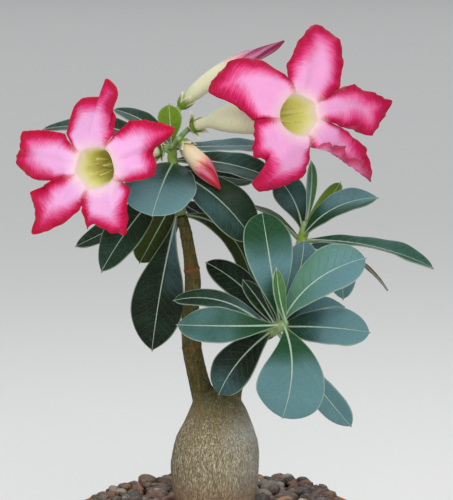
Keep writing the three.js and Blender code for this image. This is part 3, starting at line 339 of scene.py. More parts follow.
class LeafSettings(bpy.types.PropertyGroup):
    """Leaves"""

    thickness: length("Thickness", "Thickness of a leaf blade", 0.7, 0.3, 2)
    petiole: length("Petiole", "Thickness where a leaf meets its shoot", 1.7, 0.8, 4)
    vein_spacing: length("Vein spacing", "Distance between side veins", 3.6, 1, 10)
    quilting: length("Quilting", "How far the blade rises between its veins", 0.1, 0, 0.5)
    deep: colour("Deep green", "Leaves inside the crown", 0x172C18)
    teal: colour("Teal green", "Large leaves at the front", 0x1A4527)
    blue: colour("Blue green", "Leaves with a waxy bloom", 0x1C3A32)
    fresh: colour("Fresh green", "Leaves at the ends of the shoots", 0x4A7440)
    pale: colour("Pale green", "The large pale leaf at the front", 0x58846C)
    # partly painted shade: this darkest green goes on leaves in the shade of the others and is
    # darker than their own green
    night: colour("Darkest green", "Old leaves in the shade", 0x10190F)
    olive: colour("Olive", "Leaves seen from beneath", 0x3A4416)
    young: colour("Young green", "Leaves that have just opened", 0x6A8A20)
    withered: colour("Withered", "A dried leaf", 0x7A6450)
    rib: colour("Midrib", "The midrib and the main veins", 0xBCD2BC)
    margin: colour("Margin", "The thin pale edge", 0xAEBFA6)
    # painted reflection: a bluish sheen painted on the leaves' upper faces, in place of the lights'
    # soft reflection
    painted_sheen: colour("Painted_bluish_sheen", "The bluish wax on the outer half of a leaf", 0x5D858B)


class PetalSettings(bpy.types.PropertyGroup):
    """Blooms and buds"""

    thickness: length("Thickness", "Thickness of a petal", 0.6, 0.3, 1.5)
    band: length("Edge band", "Width of the dark edge at a petal's end", 7.5, 1, 15)
    ruffle: length("Ruffle", "How far a petal's edge waves", 0.9, 0, 3)
    edge: colour("Edge", "Crimson at the petal's edge", 0xB80034)
    flush: colour("Flush", "Deep pink inside the edge", 0xDA1A70)
    heart: colour("Heart", "Pale pink in the middle", 0xF0B2E0)
    cream: colour("Cream", "Round the throat and outside the tube", 0xF2E8D2)
    # partly painted light: the throat's yellow green is made brighter than its own, to stand in for
    # light shining through the thin tube into its shaded inside
    throat: colour("Throat", "Yellow green inside the tube", 0xF6F09A)
    salmon: colour("Salmon", "The middle of the small bud", 0xF09A86)
    straw: colour("Straw", "The foot of the small bud", 0xE4CD9A)
    celery: colour("Celery", "The foot of the tall bud", 0xC2CE9A)
    dusk: colour("Dusk", "The middle of the tall bud", 0xCB6F8B)
    wine: colour("Wine", "The tip of the tall bud", 0x861040)
    ruby: colour("Ruby", "The tip of the small bud", 0xB81C29)


class BarkSettings(bpy.types.PropertyGroup):
    """Caudex and stems"""

    voxel: length("Mesh size", "Size of the faces that join the stems", 0.7, 0.4, 2)
    wrinkle: length("Wrinkles", "Depth of the bark's upright wrinkles", 0.25, 0, 1)
    pale: colour("Pale bark", "Ridges of the caudex", 0xD6C9A8)
    dark: colour("Dark bark", "Grooves of the caudex", 0x8E7F66)
    olive: colour("Olive bark", "The neck and the woody stems", 0x3C4018)
    golden: colour("Golden bark", "Between the grooves of the neck and the stems", 0x7C6A30)
    scar: colour("Scars", "Leaf scars and the soil line", 0x9A5A3A)
    # painted light: the paler grey on the caudex's right shoulder stands in for a rim light from the
    # right
    ashen: colour("Ashen bark", "The weathered shoulder of the caudex", 0xC0C1B8)
    # painted shade: a darker brown on the caudex's left side, where the shade falls
    painted_shade: colour("Shaded bark", "The darker, shadier side of the caudex", 0x4A3E2C)
    green: colour("Green stem", "Shoots and flower stalks", 0x86A13F)


class PotSettings(bpy.types.PropertyGroup):
    """Pot and gravel"""

    height: length("Height", "Height of the pot", 77, 40, 200)
    radius: length("Radius", "Outside of the rim band", 66, 30, 150)
    wall: length("Wall", "Thickness of the wall", 5, 3, 12)
    foot: length("Foot", "Radius of the foot", 42, 20, 100)
    clay: colour("Clay", "Fired clay", 0xB9683F)
    salt: colour("Salt", "Pale salts on the clay", 0xD9B99C)
    small_stones: IntProperty(name="Small stones", description="Small stones between the large",
                              default=640, min=0, max=2000)


class StageSettings(bpy.types.PropertyGroup):
    """Stage"""

    floor: colour("Floor", "The pale floor", 0xEEEDEA)
    key: power("Key light", "Power of the main light", 4.6)
    fill: power("Fill light", "Power of the fill and rim lights", 1.9)
    ceiling: power("Ceiling", "Power of the wide soft ceiling", 880, 9000)
    lens: FloatProperty(name="Lens", description="Focal length of the camera", default=144,
                        min=20, max=300, unit="CAMERA")


class DesertRoseSettings(bpy.types.PropertyGroup):
    """All settings of the desert rose"""

    leaf: PointerProperty(type=LeafSettings)
    petal: PointerProperty(type=PetalSettings)
    bark: PointerProperty(type=BarkSettings)
    pot: PointerProperty(type=PotSettings)
    stage: PointerProperty(type=StageSettings)


# ---------- lines and rings ----------

def unit(vectors):
    """The vectors at length 1."""
    vectors = np.asarray(vectors, float)
    return vectors / np.maximum(np.linalg.norm(vectors, axis=-1, keepdims=True), 1e-12)


def bell(distance, width):
    """1 at no distance, falling softly to nearly nothing beyond twice the width."""
    return np.exp(-((distance / width) ** 2))


def turns_round(sides):
    """Even steps round a ring, in radians."""
    return TAU * np.arange(sides) / sides


def across_blade(columns):
    """Places from -1 to 1 across a blade, closest together at its edges."""
    return np.sin(np.linspace(-math.pi / 2, math.pi / 2, columns))


def along_line(points):
    """How far along a line of points each of them is."""
    return np.concatenate([[0], np.cumsum(np.linalg.norm(np.diff(points, axis=0), axis=1))])


def smooth_line(stations, shares, tension=0.5):
    """Points at shares (0 to 1) of the smooth line through stations."""
    p = np.asarray(stations, float)
    p = np.vstack([2 * p[0] - p[1], p, 2 * p[-1] - p[-2]])
    place = np.clip(shares, 0, 1) * (len(p) - 3)
    first = np.minimum(place.astype(int), len(p) - 4)
    t = (place - first)[:, None]
    a, b, c, d = (p[first + k] for k in range(4))
    return ((2 * t**3 - 3 * t**2 + 1) * b + (t**3 - 2 * t**2 + t) * tension * (c - a)
            + (3 * t**2 - 2 * t**3) * c + (t**3 - t**2) * tension * (d - b))


def bent_line(controls, shares):
    """Points of a smooth bend from the first of its controls to the last, drawn to those between."""
    t = np.asarray(shares, float)[:, None]
    points = [np.asarray(c, float) * np.ones_like(t) for c in controls]
    while len(points) > 1:
        points = [a * (1 - t) + b * t for a, b in zip(points, points[1:])]
    return points[0]


def axes_along(points):
    """Tangent, side and up at each point, carried along without twisting."""
    tangents = unit(np.gradient(points, axis=0))
    side = unit(np.cross((0, -1, 0.2), tangents[0]))
    sides = []
    for tangent in tangents:
        side = unit(side - np.dot(side, tangent) * tangent)
        sides.append(side)
    sides = np.array(sides)
    return tangents, sides, np.cross(tangents, sides)


def ring_faces(rows, sides):
    """Quads between neighbouring rings."""
    k = np.arange(sides)
    faces = [np.stack([r * sides + k, r * sides + (k + 1) % sides,
                       (r + 1) * sides + (k + 1) % sides, (r + 1) * sides + k], 1)
             for r in range(rows - 1)]
    return np.vstack(faces)


def loft(rings):
    """Points and faces of a closed skin over rings (rows, sides, 3), with a fan on each end."""
    rows, sides = rings.shape[:2]
    points = np.vstack([rings.reshape(-1, 3), rings[0].mean(0), rings[-1].mean(0)])
    k = np.arange(sides)
    near = np.stack([(k + 1) % sides, k, np.full(sides, rows * sides)], 1)
    last = (rows - 1) * sides
    far = np.stack([last + k, last + (k + 1) % sides, np.full(sides, rows * sides + 1)], 1)
    return points, ring_faces(rows, sides).tolist() + near.tolist() + far.tolist()


def with_ends(*facts):
    """Three facts about each point of a loft's rings, and about the middles of its two ends."""
    table = np.column_stack([each.ravel() for each in facts])
    return np.vstack([table, table[[0, -1]]])


def gathered(solids):
    """Several solids' (points, faces) as one."""
    points, faces = [], []
    for some, more in solids:
        start = sum(map(len, points))
        faces += [[k + start for k in face] for face in more]
        points.append(some)
    return np.vstack(points), faces


def tube(stations, sides, rows, profile=None):
    """Rings round a smooth line of (x, y, z, radius). profile(shares, turns) scales the radius."""
    shares = np.linspace(0, 1, rows)
    line = smooth_line(stations, shares)
    centres, radii = line[:, :3], line[:, 3]
    _, side, up = axes_along(centres)
    turns = turns_round(sides)
    scale = np.ones((rows, sides)) if profile is None else profile(shares[:, None], turns[None])
    reach = (radii[:, None] * scale)[..., None]
    return (centres[:, None] + reach * (side[:, None] * np.cos(turns)[None, :, None]
                                        + up[:, None] * np.sin(turns)[None, :, None]))


def turned(radii, heights, sides):
    """Rings of a form turned round the upright axis."""
    radii, heights = (np.array(each, float)[:, None] for each in (radii, heights))
    turns = turns_round(sides)
    return np.stack([radii * np.cos(turns), radii * np.sin(turns), heights + 0 * turns], -1)


def thicken(points, faces, thickness):
    """A sheet of quads as a solid. Returns points, faces and the side (1 or 0) of each point."""
    corners = points[faces]
    normals = np.zeros_like(points)
    crossed = np.cross(corners[:, 2] - corners[:, 0], corners[:, 3] - corners[:, 1])
    for k in range(4):
        np.add.at(normals, faces[:, k], crossed)
    lift = unit(normals) * (thickness / 2)[:, None]
    count = len(points)
    edges = {(a, b) for face in faces.tolist() for a, b in zip(face, face[1:] + face[:1])}
    rim = [(b, a, a + count, b + count) for a, b in edges if (b, a) not in edges]
    both = faces.tolist() + (faces[:, ::-1] + count).tolist() + sorted(rim)
    side = np.concatenate([np.ones(count), np.zeros(count)])
    return np.vstack([points + lift, points - lift]), both, side


def welded(points, faces):
    """Joins points that share a place. Returns kept points, faces and where each point went."""
    places = np.round(points * 1e3).astype(np.int64)
    _, first, where = np.unique(places, axis=0, return_index=True, return_inverse=True)
    return points[first], where.reshape(-1)[faces], first


def roughness_at(points, scale, seed):
    """Smooth noise from -1 to 1 at each point, with features of about 1 / scale mm."""
    shift = Vector((seed * 7.3, seed * 3.1, seed * 5.7))
    return np.array([noise.noise(Vector(p) * scale + shift) for p in np.asarray(points).tolist()])


def roughness_along(arc, scale, seed):
    """Smooth noise from -1 to 1 along a line, at each distance in arc."""
    return roughness_at(np.column_stack([arc, 0 * arc, 0 * arc]), scale, seed)


# ---------- pieces ----------

def link_new(name, data):
    """A new object in the scene."""
    thing = bpy.data.objects.new(name, data)
    bpy.context.scene.collection.objects.link(thing)
    return thing


def make_piece(name, points, faces, material, replaces=(), layers=None):
    """A smooth mesh from points in millimetres, with its attribute layers, riding on the root."""
    mesh = bpy.data.meshes.new(name)
    mesh.from_pydata((np.asarray(points) * MM).tolist(), [], faces)
    for layer, values in (layers or {}).items():
        values = np.asarray(values, np.float32)
        if layer == "tone":
            attribute = mesh.attributes.new(layer, "FLOAT_COLOR", "POINT")
            solid = np.column_stack([values, np.ones(len(values), np.float32)])
            attribute.data.foreach_set("color", solid.ravel())
        else:
            attribute = mesh.attributes.new(layer, "FLOAT_VECTOR", "POINT")
            attribute.data.foreach_set("vector", values.ravel())
    mesh.polygons.foreach_set("use_smooth", [True] * len(mesh.polygons))
    mesh.update()
    face_outward(mesh)
    mesh.materials.append(material)
    piece = link_new(name, mesh)
    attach(piece, "root")
    if replaces:
        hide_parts(*replaces)
    return piece


def face_outward(mesh):
    """Turns every face of a closed mesh to the outside."""
    editable = bmesh.new()
    editable.from_mesh(mesh)
    bmesh.ops.recalc_face_normals(editable, faces=editable.faces)
    editable.to_mesh(mesh)
    editable.free()


def join_solids(solids, voxel, smoothing):
    """One mesh that flows over several overlapping solids, as points and faces in millimetres."""
    mesh = bpy.data.meshes.new("joined")
    points, faces = gathered(solids)
    mesh.from_pydata(points.tolist(), [], faces)
    scratch = link_new("joined", mesh)
    remesh = scratch.modifiers.new("Join", "REMESH")
    remesh.mode = "VOXEL"
    remesh.voxel_size = voxel
    smooth = scratch.modifiers.new("Smooth", "SMOOTH")
    smooth.factor = 0.5
    smooth.iterations = smoothing
    ready = scratch.evaluated_get(bpy.context.evaluated_depsgraph_get()).to_mesh()
    joined = np.empty(len(ready.vertices) * 3)
    ready.vertices.foreach_get("co", joined)
    quads = [list(p.vertices) for p in ready.polygons]
    scratch.to_mesh_clear()
    bpy.data.objects.remove(scratch)
    bpy.data.meshes.remove(mesh)
    return joined.reshape(-1, 3), quads


# ---------- materials ----------

class Field:
    """A value or colour that varies over a surface. Arithmetic on it adds nodes."""

    def __init__(self, surface, socket):
        self.surface = surface
        self.socket = socket

    def maths(self, operation, *others):
        return self.surface.add("Math", (self, *others), operation=operation)

    def __add__(self, other):
        return self.maths("ADD", other)

    def __sub__(self, other):
        return self.maths("SUBTRACT", other)

    def __mul__(self, other):
        return self.maths("MULTIPLY", other)

    def __truediv__(self, other):
        return self.maths("DIVIDE", other)

    def size(self):
        return self.maths("ABSOLUTE")

    def fraction(self):
        return self.maths("FRACT")

    def other(self):
        """One minus this, for a value of 1 or less."""
        return (self - 1).size()

    def ramp(self, low, high, start=0.0, end=1.0):
        """start at low and under, end at high and over, and a soft step between."""
        return self.surface.add("MapRange", (self, low, high, start, end),
                                interpolation_type="SMOOTHSTEP")

    def parts(self):
        node = self.surface.add("SeparateXYZ", (self,)).socket.node
        return [Field(self.surface, socket) for socket in node.outputs]

    def stretched(self, x, y, z):
        return self.surface.add("VectorMath", (self, (x, y, z)), operation="MULTIPLY")


class Surface:
    """One material, whose colour is its body. Most calls add a node and return what it gives as a
    Field."""

    def __init__(self, name, **values):
        self.material = bpy.data.materials.new(name)
        self.material.use_nodes = True
        self.nodes = self.material.node_tree.nodes
        self.shader = self.nodes["Principled BSDF"]
        for socket, value in values.items():
            title = socket.replace("_", " ").title().replace("Ior", "IOR")
            self.shader.inputs[title].default_value = value

    def put(self, value, socket):
        """Links a Field to a socket, or sets a number or colour on it."""
        if isinstance(value, Field):
            self.material.node_tree.links.new(value.socket, socket)
        elif hasattr(value, "__len__"):
            socket.default_value = (*value, 1)[:len(socket.default_value)]
        else:
            socket.default_value = value

    def add(self, kind, inputs=(), output=0, **settings):
        """A node. inputs are in the order of its sockets, or by their names or numbers."""
        node = self.nodes.new("ShaderNode" + kind)
        for key, value in settings.items():
            setattr(node, key, value)
        for key, value in inputs.items() if isinstance(inputs, dict) else enumerate(inputs):
            self.put(value, node.inputs[key])
        return Field(self, node.outputs[output])

    def layer(self, name, output="Vector"):
        return self.add("Attribute", output=output, attribute_name=name)

    def place(self):
        """Where the point is, in millimetres."""
        return self.add("TexCoord", output="Object").stretched(1000, 1000, 1000)

    def vector(self, x, y, z):
        return self.add("CombineXYZ", (x, y, z))

    def noise(self, place, scale, detail=3.0, roughness=0.55):
        return self.add("TexNoise", {"Vector": place, "Scale": scale, "Detail": detail,
                                     "Roughness": roughness})

    def cells(self, place, scale, feature="DISTANCE_TO_EDGE"):
        return self.add("TexVoronoi", {"Vector": place, "Scale": scale}, "Distance",
                        feature=feature)

    def mix(self, share, first, second):
        return self.add("Mix", {0: share, 6: first, 7: second}, 2, data_type="RGBA")

    def coat(self, share, colour):
        """Lays a share of a colour over the body's colour."""
        self.body = self.mix(share, self.body, colour)

    def finish(self, roughness, height, depth):
        """Wires up the shader. depth is what a height of 1 stands for, in millimetres."""
        self.put(self.body, self.shader.inputs["Base Color"])
        self.put(roughness, self.shader.inputs["Roughness"])
        bump = self.add("Bump", {"Distance": depth * MM, "Height": height})
        self.put(bump, self.shader.inputs["Normal"])
        return self.material


def leaf_material(leaf):
    """Leathery satin green with a pale midrib, side veins, a fine net and a thin pale margin."""
    s = Surface("leaf_blade", specular_ior_level=0.12)
    along, across, half = s.layer("blade").parts()
    share, upper, painted_sheen = s.layer("lie").parts()
    tone = s.layer("tone", "Color")
    place = s.place()
    from_rib = across.size()
    wander = s.noise(place, 0.16, 2)
    rib = (from_rib / (share.other() * 0.34 + 0.1)).ramp(1.35, 0.6)
    course = (along - from_rib * VEIN_SLANT + wander * 1.6) / leaf.vein_spacing
    vein = (course.fraction() - 0.5).size().ramp(0.075, 0.015)
    vein = vein * (from_rib / half).ramp(1.0, 0.55)
    net = s.cells(place, 0.75).ramp(0.1, 0.0)
    margin = (half - from_rib).ramp(0.6, 0.2)
    cloud = s.noise(place, 0.09, 4)
    speckle = s.noise(place, 1.7, 3)
    s.body = s.mix(cloud.ramp(0.35, 0.7), tone, s.mix(0.35, tone, leaf.teal))
    s.coat(speckle.ramp(0.3, 0.8, 0.0, 0.25), s.mix(0.5, tone, leaf.night))
    # painted sheen: the bluish reflection is painted into the upper face's colour, mostly toward the
    # tip
    painted_bluish = (painted_sheen + (cloud - 0.5) * 0.5).ramp(0.12, 0.62) * painted_sheen.ramp(0.0, 0.9, 0.2, 0.95)
    s.coat(painted_bluish * upper, leaf.painted_sheen)
    s.coat(upper.other() * 0.45, leaf.olive)
    s.coat(net * (painted_bluish * 0.03 + 0.025), leaf.rib)
    s.coat(vein * (painted_bluish * upper * 0.06 + 0.045), leaf.rib)
    s.coat(share.ramp(0.16, 0.02, 0.0, 0.6), leaf.young)
    s.coat(rib * 0.92, s.mix(0.15, leaf.rib, tone))
    s.coat(margin * (upper * 0.3 + 0.2), leaf.margin)
    height = rib * 0.5 - vein * 0.5 - net * 0.12 + speckle * 0.25
    gloss = cloud.ramp(0.3, 0.7, 0.3, 0.42) + upper.other() * 0.15 + net * 0.05
    return s.finish(gloss, height, 0.3)


def petal_material(petal, blush):
    """Crimson at the edge, through deep pink to a pale heart, with soft streaks and a yellow-green
    throat."""
    heart = [h + (f - h) * blush for h, f in zip(petal.heart, petal.flush)]
    rim = [e + (w - e) * 2 * blush for e, w in zip(petal.edge, petal.wine)]
    s = Surface("petal", specular_ior_level=0.15, sheen_weight=0.03, subsurface_weight=0.4,
                subsurface_scale=0.0015, subsurface_radius=(1.0, 0.8, 0.6))
    around, outward, edge = s.layer("petal").parts()
    depth, inner, _ = s.layer("lie").parts()
    place = s.place()
    streak = s.noise(s.vector(around * 30, outward * 2.2, 0), 1.0, 4, 0.6)
    fine = s.noise(s.vector(around * 130, outward * 4, 3), 1.0, 3, 0.5)
    cloud = s.noise(place, 0.12, 3)
    from_edge = edge + (streak - 0.5) * 0.9 + (cloud - 0.5) * 0.5
    s.body = s.mix(from_edge.ramp(0.1, 0.75), rim, petal.flush)
    s.coat(from_edge.ramp(0.35, 1.5), heart)
    s.coat(fine.ramp(0.5, 0.75, 0.0, 0.22) * edge.ramp(0.2, 1.0), petal.flush)
    rosy = s.mix(inner.other() * edge.ramp(0.0, 0.8, 0.1, 0.55), s.body, heart)
    pale = (depth + (streak - 0.5) * 6).ramp(-6.0, 2.0)
    lip = s.mix(depth.ramp(-3.0, 5.0), s.mix(0.45, petal.cream, heart), petal.cream)
    # partly painted light: the bright throat colour lights the shaded inside of the tube
    throat = s.mix(depth.ramp(-1.0, 8.0), lip, petal.throat)
    outside = s.mix(depth.ramp(12.0, 34.0, 0.15, 0.5), petal.cream, petal.celery)
    outside = s.mix(streak.ramp(0.45, 0.7, 0.0, 0.6), outside, petal.celery)
    outside = s.mix(depth.ramp(12.0, -6.0, 0.0, 0.75) * streak.ramp(0.35, 0.65), outside, heart)
    lines = fine.ramp(0.6, 0.72) * depth.ramp(-4.0, 1.0) * inner
    throat = s.mix(lines * 0.2, throat, petal.wine)
    inside = s.mix(pale, rosy, throat)
    s.body = s.mix(inner, s.mix(pale, rosy, outside), inside)
    height = fine * 0.6 + streak * 0.5 + s.noise(place, 3.0, 2) * 0.2
    return s.finish(cloud.ramp(0.3, 0.7, 0.42, 0.56), height, 0.25)


def bud_material(petal, bud):
    """Cream at the foot and pink to red at the tip, darker along the furled edges."""
    blush = bud.blush
    tip = getattr(petal, bud.tip)
    s = Surface("furled_bud", specular_ior_level=0.25, sheen_weight=0.05)
    share, fold, around = s.layer("furl").parts()
    place = s.place()
    streak = s.noise(s.vector(around * 3, share * 5, 0), 2.2, 4)
    rise = share + (streak - 0.5) * 0.22
    base = getattr(petal, bud.base)
    s.body = s.mix(share.ramp(0.0, 0.3), base, s.mix(0.45, base, petal.cream))
    s.coat(rise.ramp(blush - 0.12, blush + 0.12), getattr(petal, bud.middle))
    s.coat(rise.ramp(blush + 0.02, blush + 0.22), tip)
    # painted highlight: pale pink painted on the middle of each furled petal, toward the tip
    painted_highlight = fold.ramp(0.05, 0.4) * fold.ramp(0.8, 0.5) * share.ramp(0.98, 0.7)
    painted_highlight = painted_highlight * share.ramp(blush, blush + 0.1)
    s.coat(painted_highlight * 0.6, s.mix(0.4, petal.heart, tip))
    line = fold.ramp(0.7, 0.95) * share.ramp(blush - 0.1, blush + 0.12)
    s.coat(line * 0.85, s.mix(0.4, tip, petal.wine))
    height = streak * 0.5 + s.noise(place, 2.0, 3) * 0.3
    return s.finish(streak.ramp(0.3, 0.7, 0.4, 0.55), height, 0.2)


def bark_material(bark):
    """Grey-tan bark with fine upright wrinkles, olive on the stems and rusty at scars and soil."""
    s = Surface("bark", specular_ior_level=0.15)
    height_at, scar, woody = s.layer("bark").parts()
    painted_rim_light, painted_shade, _ = s.layer("lie").parts()
    place = s.place()
    bent = s.noise(place, 0.35, 3)
    skin = s.cells(place.stretched(1.5, 1.5, 0.4), 1.0)
    grain = s.noise(place.stretched(1.0, 1.0, 0.2), 1.3, 4, 0.6)
    coarse = s.noise(place.stretched(1.0, 1.0, 0.45), 0.14, 4)
    groove = skin.ramp(0.14, 0.0)
    s.body = s.mix(grain.ramp(0.3, 0.7), bark.dark, bark.pale)
    s.coat(groove * 0.55, s.mix(0.5, bark.dark, bark.olive))
    s.coat(coarse.ramp(0.45, 0.75, 0.0, 0.4), s.mix(0.5, bark.olive, bark.pale))
    s.coat(height_at.ramp(106, 124, 0.0, 0.45) * coarse.ramp(0.3, 0.6), bark.golden)
    # painted light: paler grey on the right side and shoulder, in place of a rim light
    s.coat(painted_rim_light * bent.ramp(0.3, 0.6, 0.4, 0.9), bark.ashen)
    # painted shade: darker brown over the left side
    s.coat(painted_shade * grain.ramp(0.3, 0.7, 0.55, 0.25), bark.painted_shade)
    stem = s.mix(grain.ramp(0.35, 0.75), bark.olive, s.mix(0.5, bark.olive, bark.golden))
    stem = s.mix(groove * 0.35, stem, bark.dark)
    stem = s.mix(coarse.ramp(0.5, 0.7, 0.0, 0.35), stem, s.mix(0.5, bark.olive, bark.scar))
    s.coat(woody * bent.ramp(0.2, 0.6, 0.75, 1.0), stem)
    s.coat(scar * grain.ramp(0.25, 0.6, 0.4, 0.9), bark.scar)
    rusty = s.mix(0.3, bark.scar, bark.pale)
    s.coat(height_at.ramp(102, 86, 0.0, 0.7) * bent.ramp(0.2, 0.55), rusty)
    s.coat(height_at.ramp(84, 80, 0.0, 0.6), UNDER_SOIL)
    relief = grain * 0.7 - groove * 0.8 + bent * 0.3
    return s.finish(grain.ramp(0.3, 0.7, 0.85, 0.62), relief, 0.45)


def green_stem_material(bark, leaf):
    """Smooth yellow-green skin, with faint ridges and pale specks."""
    s = Surface("green_stem", specular_ior_level=0.25)
    _, ripe, _ = s.layer("bark").parts()
    place = s.place()
    ridge = s.noise(place.stretched(1, 1, 0.3), 1.5, 3)
    cloud = s.noise(place, 0.2, 3)
    s.body = s.mix(cloud.ramp(0.35, 0.65), bark.green, s.mix(0.5, bark.green, leaf.rib))
    s.coat(ridge.ramp(0.4, 0.8, 0.0, 0.5), leaf.young)
    s.coat(ripe * cloud.ramp(0.2, 0.7, 0.5, 1.0), bark.olive)
    return s.finish(cloud.ramp(0.3, 0.7, 0.4, 0.55), ridge, 0.2)


def sepal_material(petal, leaf):
    """Young green, cream toward the tip and the edges."""
    s = Surface("sepal", specular_ior_level=0.25)
    share, _, across = s.layer("furl").parts()
    place = s.place()
    cloud = s.noise(place, 0.5, 3)
    s.body = s.mix(share.ramp(0.2, 1.0), leaf.young, petal.cream)
    s.coat(across.size().ramp(0.5, 1.0, 0.0, 0.6), petal.cream)
    s.coat(cloud.ramp(0.4, 0.8, 0.0, 0.35), leaf.fresh)
    return s.finish(cloud.ramp(0.3, 0.7, 0.45, 0.6), cloud, 0.2)


def stamen_material(petal):
    """Downy pale yellow, cream at the foot."""
    s = Surface("stamen", specular_ior_level=0.2)
    share, _, _ = s.layer("furl").parts()
    place = s.place()
    fuzz = s.noise(place, 3.0, 4)
    ripe = fuzz.ramp(0.35, 0.65, 0.0, 0.4)
    s.body = s.mix(ripe, s.mix(0.35, petal.throat, POLLEN), petal.throat)
    s.coat(share.ramp(0.1, 0.0, 0.0, 0.5), petal.cream)
    return s.finish(fuzz.ramp(0.3, 0.7, 0.6, 0.8), fuzz, 0.3)


def stone_material():
    """Stones each of their own colour, with pale grain, dark specks and tan veins."""
    s = Surface("gravel_stone", specular_ior_level=0.5)
    tone = s.layer("tone", "Color")
    place = s.place()
    grain = s.noise(place, 0.9, 5, 0.65)
    speck = s.noise(place, 4.0, 2)
    vein = s.noise(place.stretched(1, 1, 2.4), 0.35, 4)
    s.body = s.mix(grain.ramp(0.4, 0.7, 0.0, 0.35), tone, s.mix(0.5, tone, STONE_GRAIN))
    s.coat(speck.ramp(0.55, 0.7, 0.0, 0.5), STONE_SPECK)
    s.coat(vein.ramp(0.6, 0.66, 0.0, 0.35), STONE_VEIN)
    return s.finish(grain.ramp(0.3, 0.7, 0.28, 0.6), grain + speck * 0.4, 0.3)


def grit_material():
    """Dark brown crumbs."""
    s = Surface("grit", specular_ior_level=0.2)
    place = s.place()
    crumb = s.cells(place, 0.8, "F1")
    grain = s.noise(place, 1.5, 4)
    s.body = s.mix(grain.ramp(0.35, 0.65), GRIT_DARK, GRIT_PALE)
    return s.finish(grain.ramp(0.3, 0.7, 0.85, 0.95), crumb.other() + grain, 0.8)


def clay_material(pot):
    """Matte fired clay: mottled, faintly ringed by the wheel, with pale salts near foot and rim."""
    s = Surface("fired_clay", specular_ior_level=0.25)
    place = s.place()
    _, _, height_at = place.parts()
    ring = s.noise(s.vector(0, 0, height_at), 0.9, 3)
    mottle = s.noise(place, 0.05, 5, 0.6)
    grain = s.noise(place, 2.2, 3)
    pit = s.cells(place, 0.5, "F1").ramp(0.12, 0.0)
    s.body = s.mix(mottle.ramp(0.3, 0.7), pot.clay, s.mix(0.6, pot.clay, CLAY_DARK))
    s.coat(ring.ramp(0.4, 0.7, 0.0, 0.18), CLAY_RING)
    salts = mottle.ramp(0.5, 0.75) * (height_at - 34).size().ramp(12, 40)
    s.coat(salts * grain.ramp(0.3, 0.6, 0.15, 0.5), pot.salt)
    s.coat(grain.ramp(0.6, 0.8, 0.0, 0.25), CLAY_GRAIN)
    relief = grain * 0.4 + ring * 0.5 + mottle * 0.6 - pit * 0.8
    return s.finish(mottle.ramp(0.3, 0.7, 0.78, 0.92), relief, 0.4)


def soil_material():
    """Coarse, nearly black crumbs."""
    s = Surface("potting_soil", specular_ior_level=0.2)
    place = s.place()
    crumb = s.cells(place, 0.6, "F1")
    grain = s.noise(place, 1.2, 5, 0.7)
    s.body = s.mix(grain.ramp(0.35, 0.7), SOIL_DARK, SOIL_PALE)
    return s.finish(grain.ramp(0.3, 0.7, 0.9, 1.0), crumb + grain, 1.2)


def floor_material(stage):
    """Pale, and very faintly clouded."""
    s = Surface("pale_floor", specular_ior_level=0.2)
    place = s.place()
    cloud = s.noise(place, 0.002, 2)
    s.body = s.mix(cloud.ramp(0.3, 0.7, 0.0, 0.12), stage.floor, FLOOR_SHADE)
    return s.finish(cloud.ramp(0.3, 0.7, 0.7, 0.8), cloud, 0.1)


# ---------- leaves ----------

LEAF_ROWS = 60
LEAF_COLUMNS = 11                # on each side of the midrib
LEAF_WAVES = 1.6                 # waves along each edge
LEAF_CRIMPS = 4.3                # smaller waves along each edge
CRIMP_SHARE = 0.28               # their height, as a share of the waves'
FOLD_SOFTNESS = 0.02             # how round the fold is along the midrib
NECK = 0.1                       # share of the length over which a petiole turns into the blade
POINT_LENGTH = 0.8               # the small point at a leaf's tip
POINT_WIDTH = 1.3
RIB_HEIGHT, RIB_WIDTH = 0.65, 0.8            # the midrib, where it stands out beneath
GROOVE_DEPTH, GROOVE_WIDTH = 0.14, 0.45      # the groove over it
PAINTED_SHEEN_PLACES = (0.2, 0.5, 0.8)     # where on a leaf its three shares of painted sheen apply


def midrib(leaf, shoot, shares):
    """Points of the quadratic curve from inside the shoot through a point to the tip."""
    root = smooth_line([p[:3] for p in shoot], np.array([leaf.along]))[0]
    past, tip = np.array(leaf.past, float), np.array(leaf.tip, float)
    near, far = np.linalg.norm(past - root), np.linalg.norm(tip - past)
    s = near / (near + far)
    knee = (past - root * (1 - s) ** 2 - tip * s**2) / (2 * s * (1 - s))
    return bent_line([root, knee, tip], shares)


def half_width(leaf, shares, length, petiole):
    """Half the width of a leaf at shares of its length, with the petiole and the point."""
    rise = leaf.taper * leaf.sharp * leaf.widest / (1 - leaf.widest)
    round_end = 1 - POINT_LENGTH / length
    short = np.clip(shares / round_end, 0, 1)
    shape = (short / leaf.widest) ** rise * ((1 - short) / (1 - leaf.widest)) ** leaf.sharp
    near_tip = np.clip((1 - shares) * length / POINT_LENGTH / 1.5, 0, 1) * (shares > 0.6)
    half = np.maximum(leaf.width / 2 * shape, POINT_WIDTH / 2 * near_tip)
    stalk = petiole / 2 * np.exp(-((shares / 0.55) ** 6))
    return (half**3 + stalk**3) ** (1 / 3)


def blade_rings(centres, across, half, lift, thickness, hump):
    """Closed rings of a blade, with the place across it and the side (1 above) of their points.
    lift raises it, and hump thickens it above and beneath."""
    outward = np.cross(unit(np.gradient(centres, axis=0)), across)
    columns = lift.shape[1]
    side = across_blade(columns)
    middle = (centres[:, None] + across[:, None] * (half[:, None] * side)[..., None]
              + outward[:, None] * lift[..., None])
    above = middle + outward[:, None] * (thickness / 2 + hump[0])[..., None]
    below = middle - outward[:, None] * (thickness / 2 + hump[1])[..., None]
    above[:, 0] = below[:, 0] = middle[:, 0]
    above[:, -1] = below[:, -1] = middle[:, -1]
    rings = np.concatenate([above, below[:, -2:0:-1]], 1)
    sides = np.concatenate([side, side[-2:0:-1]])
    upper = np.concatenate([np.ones(columns), np.zeros(columns - 2)])
    upper[0] = upper[columns - 1] = 0.5
    return rings, sides, upper


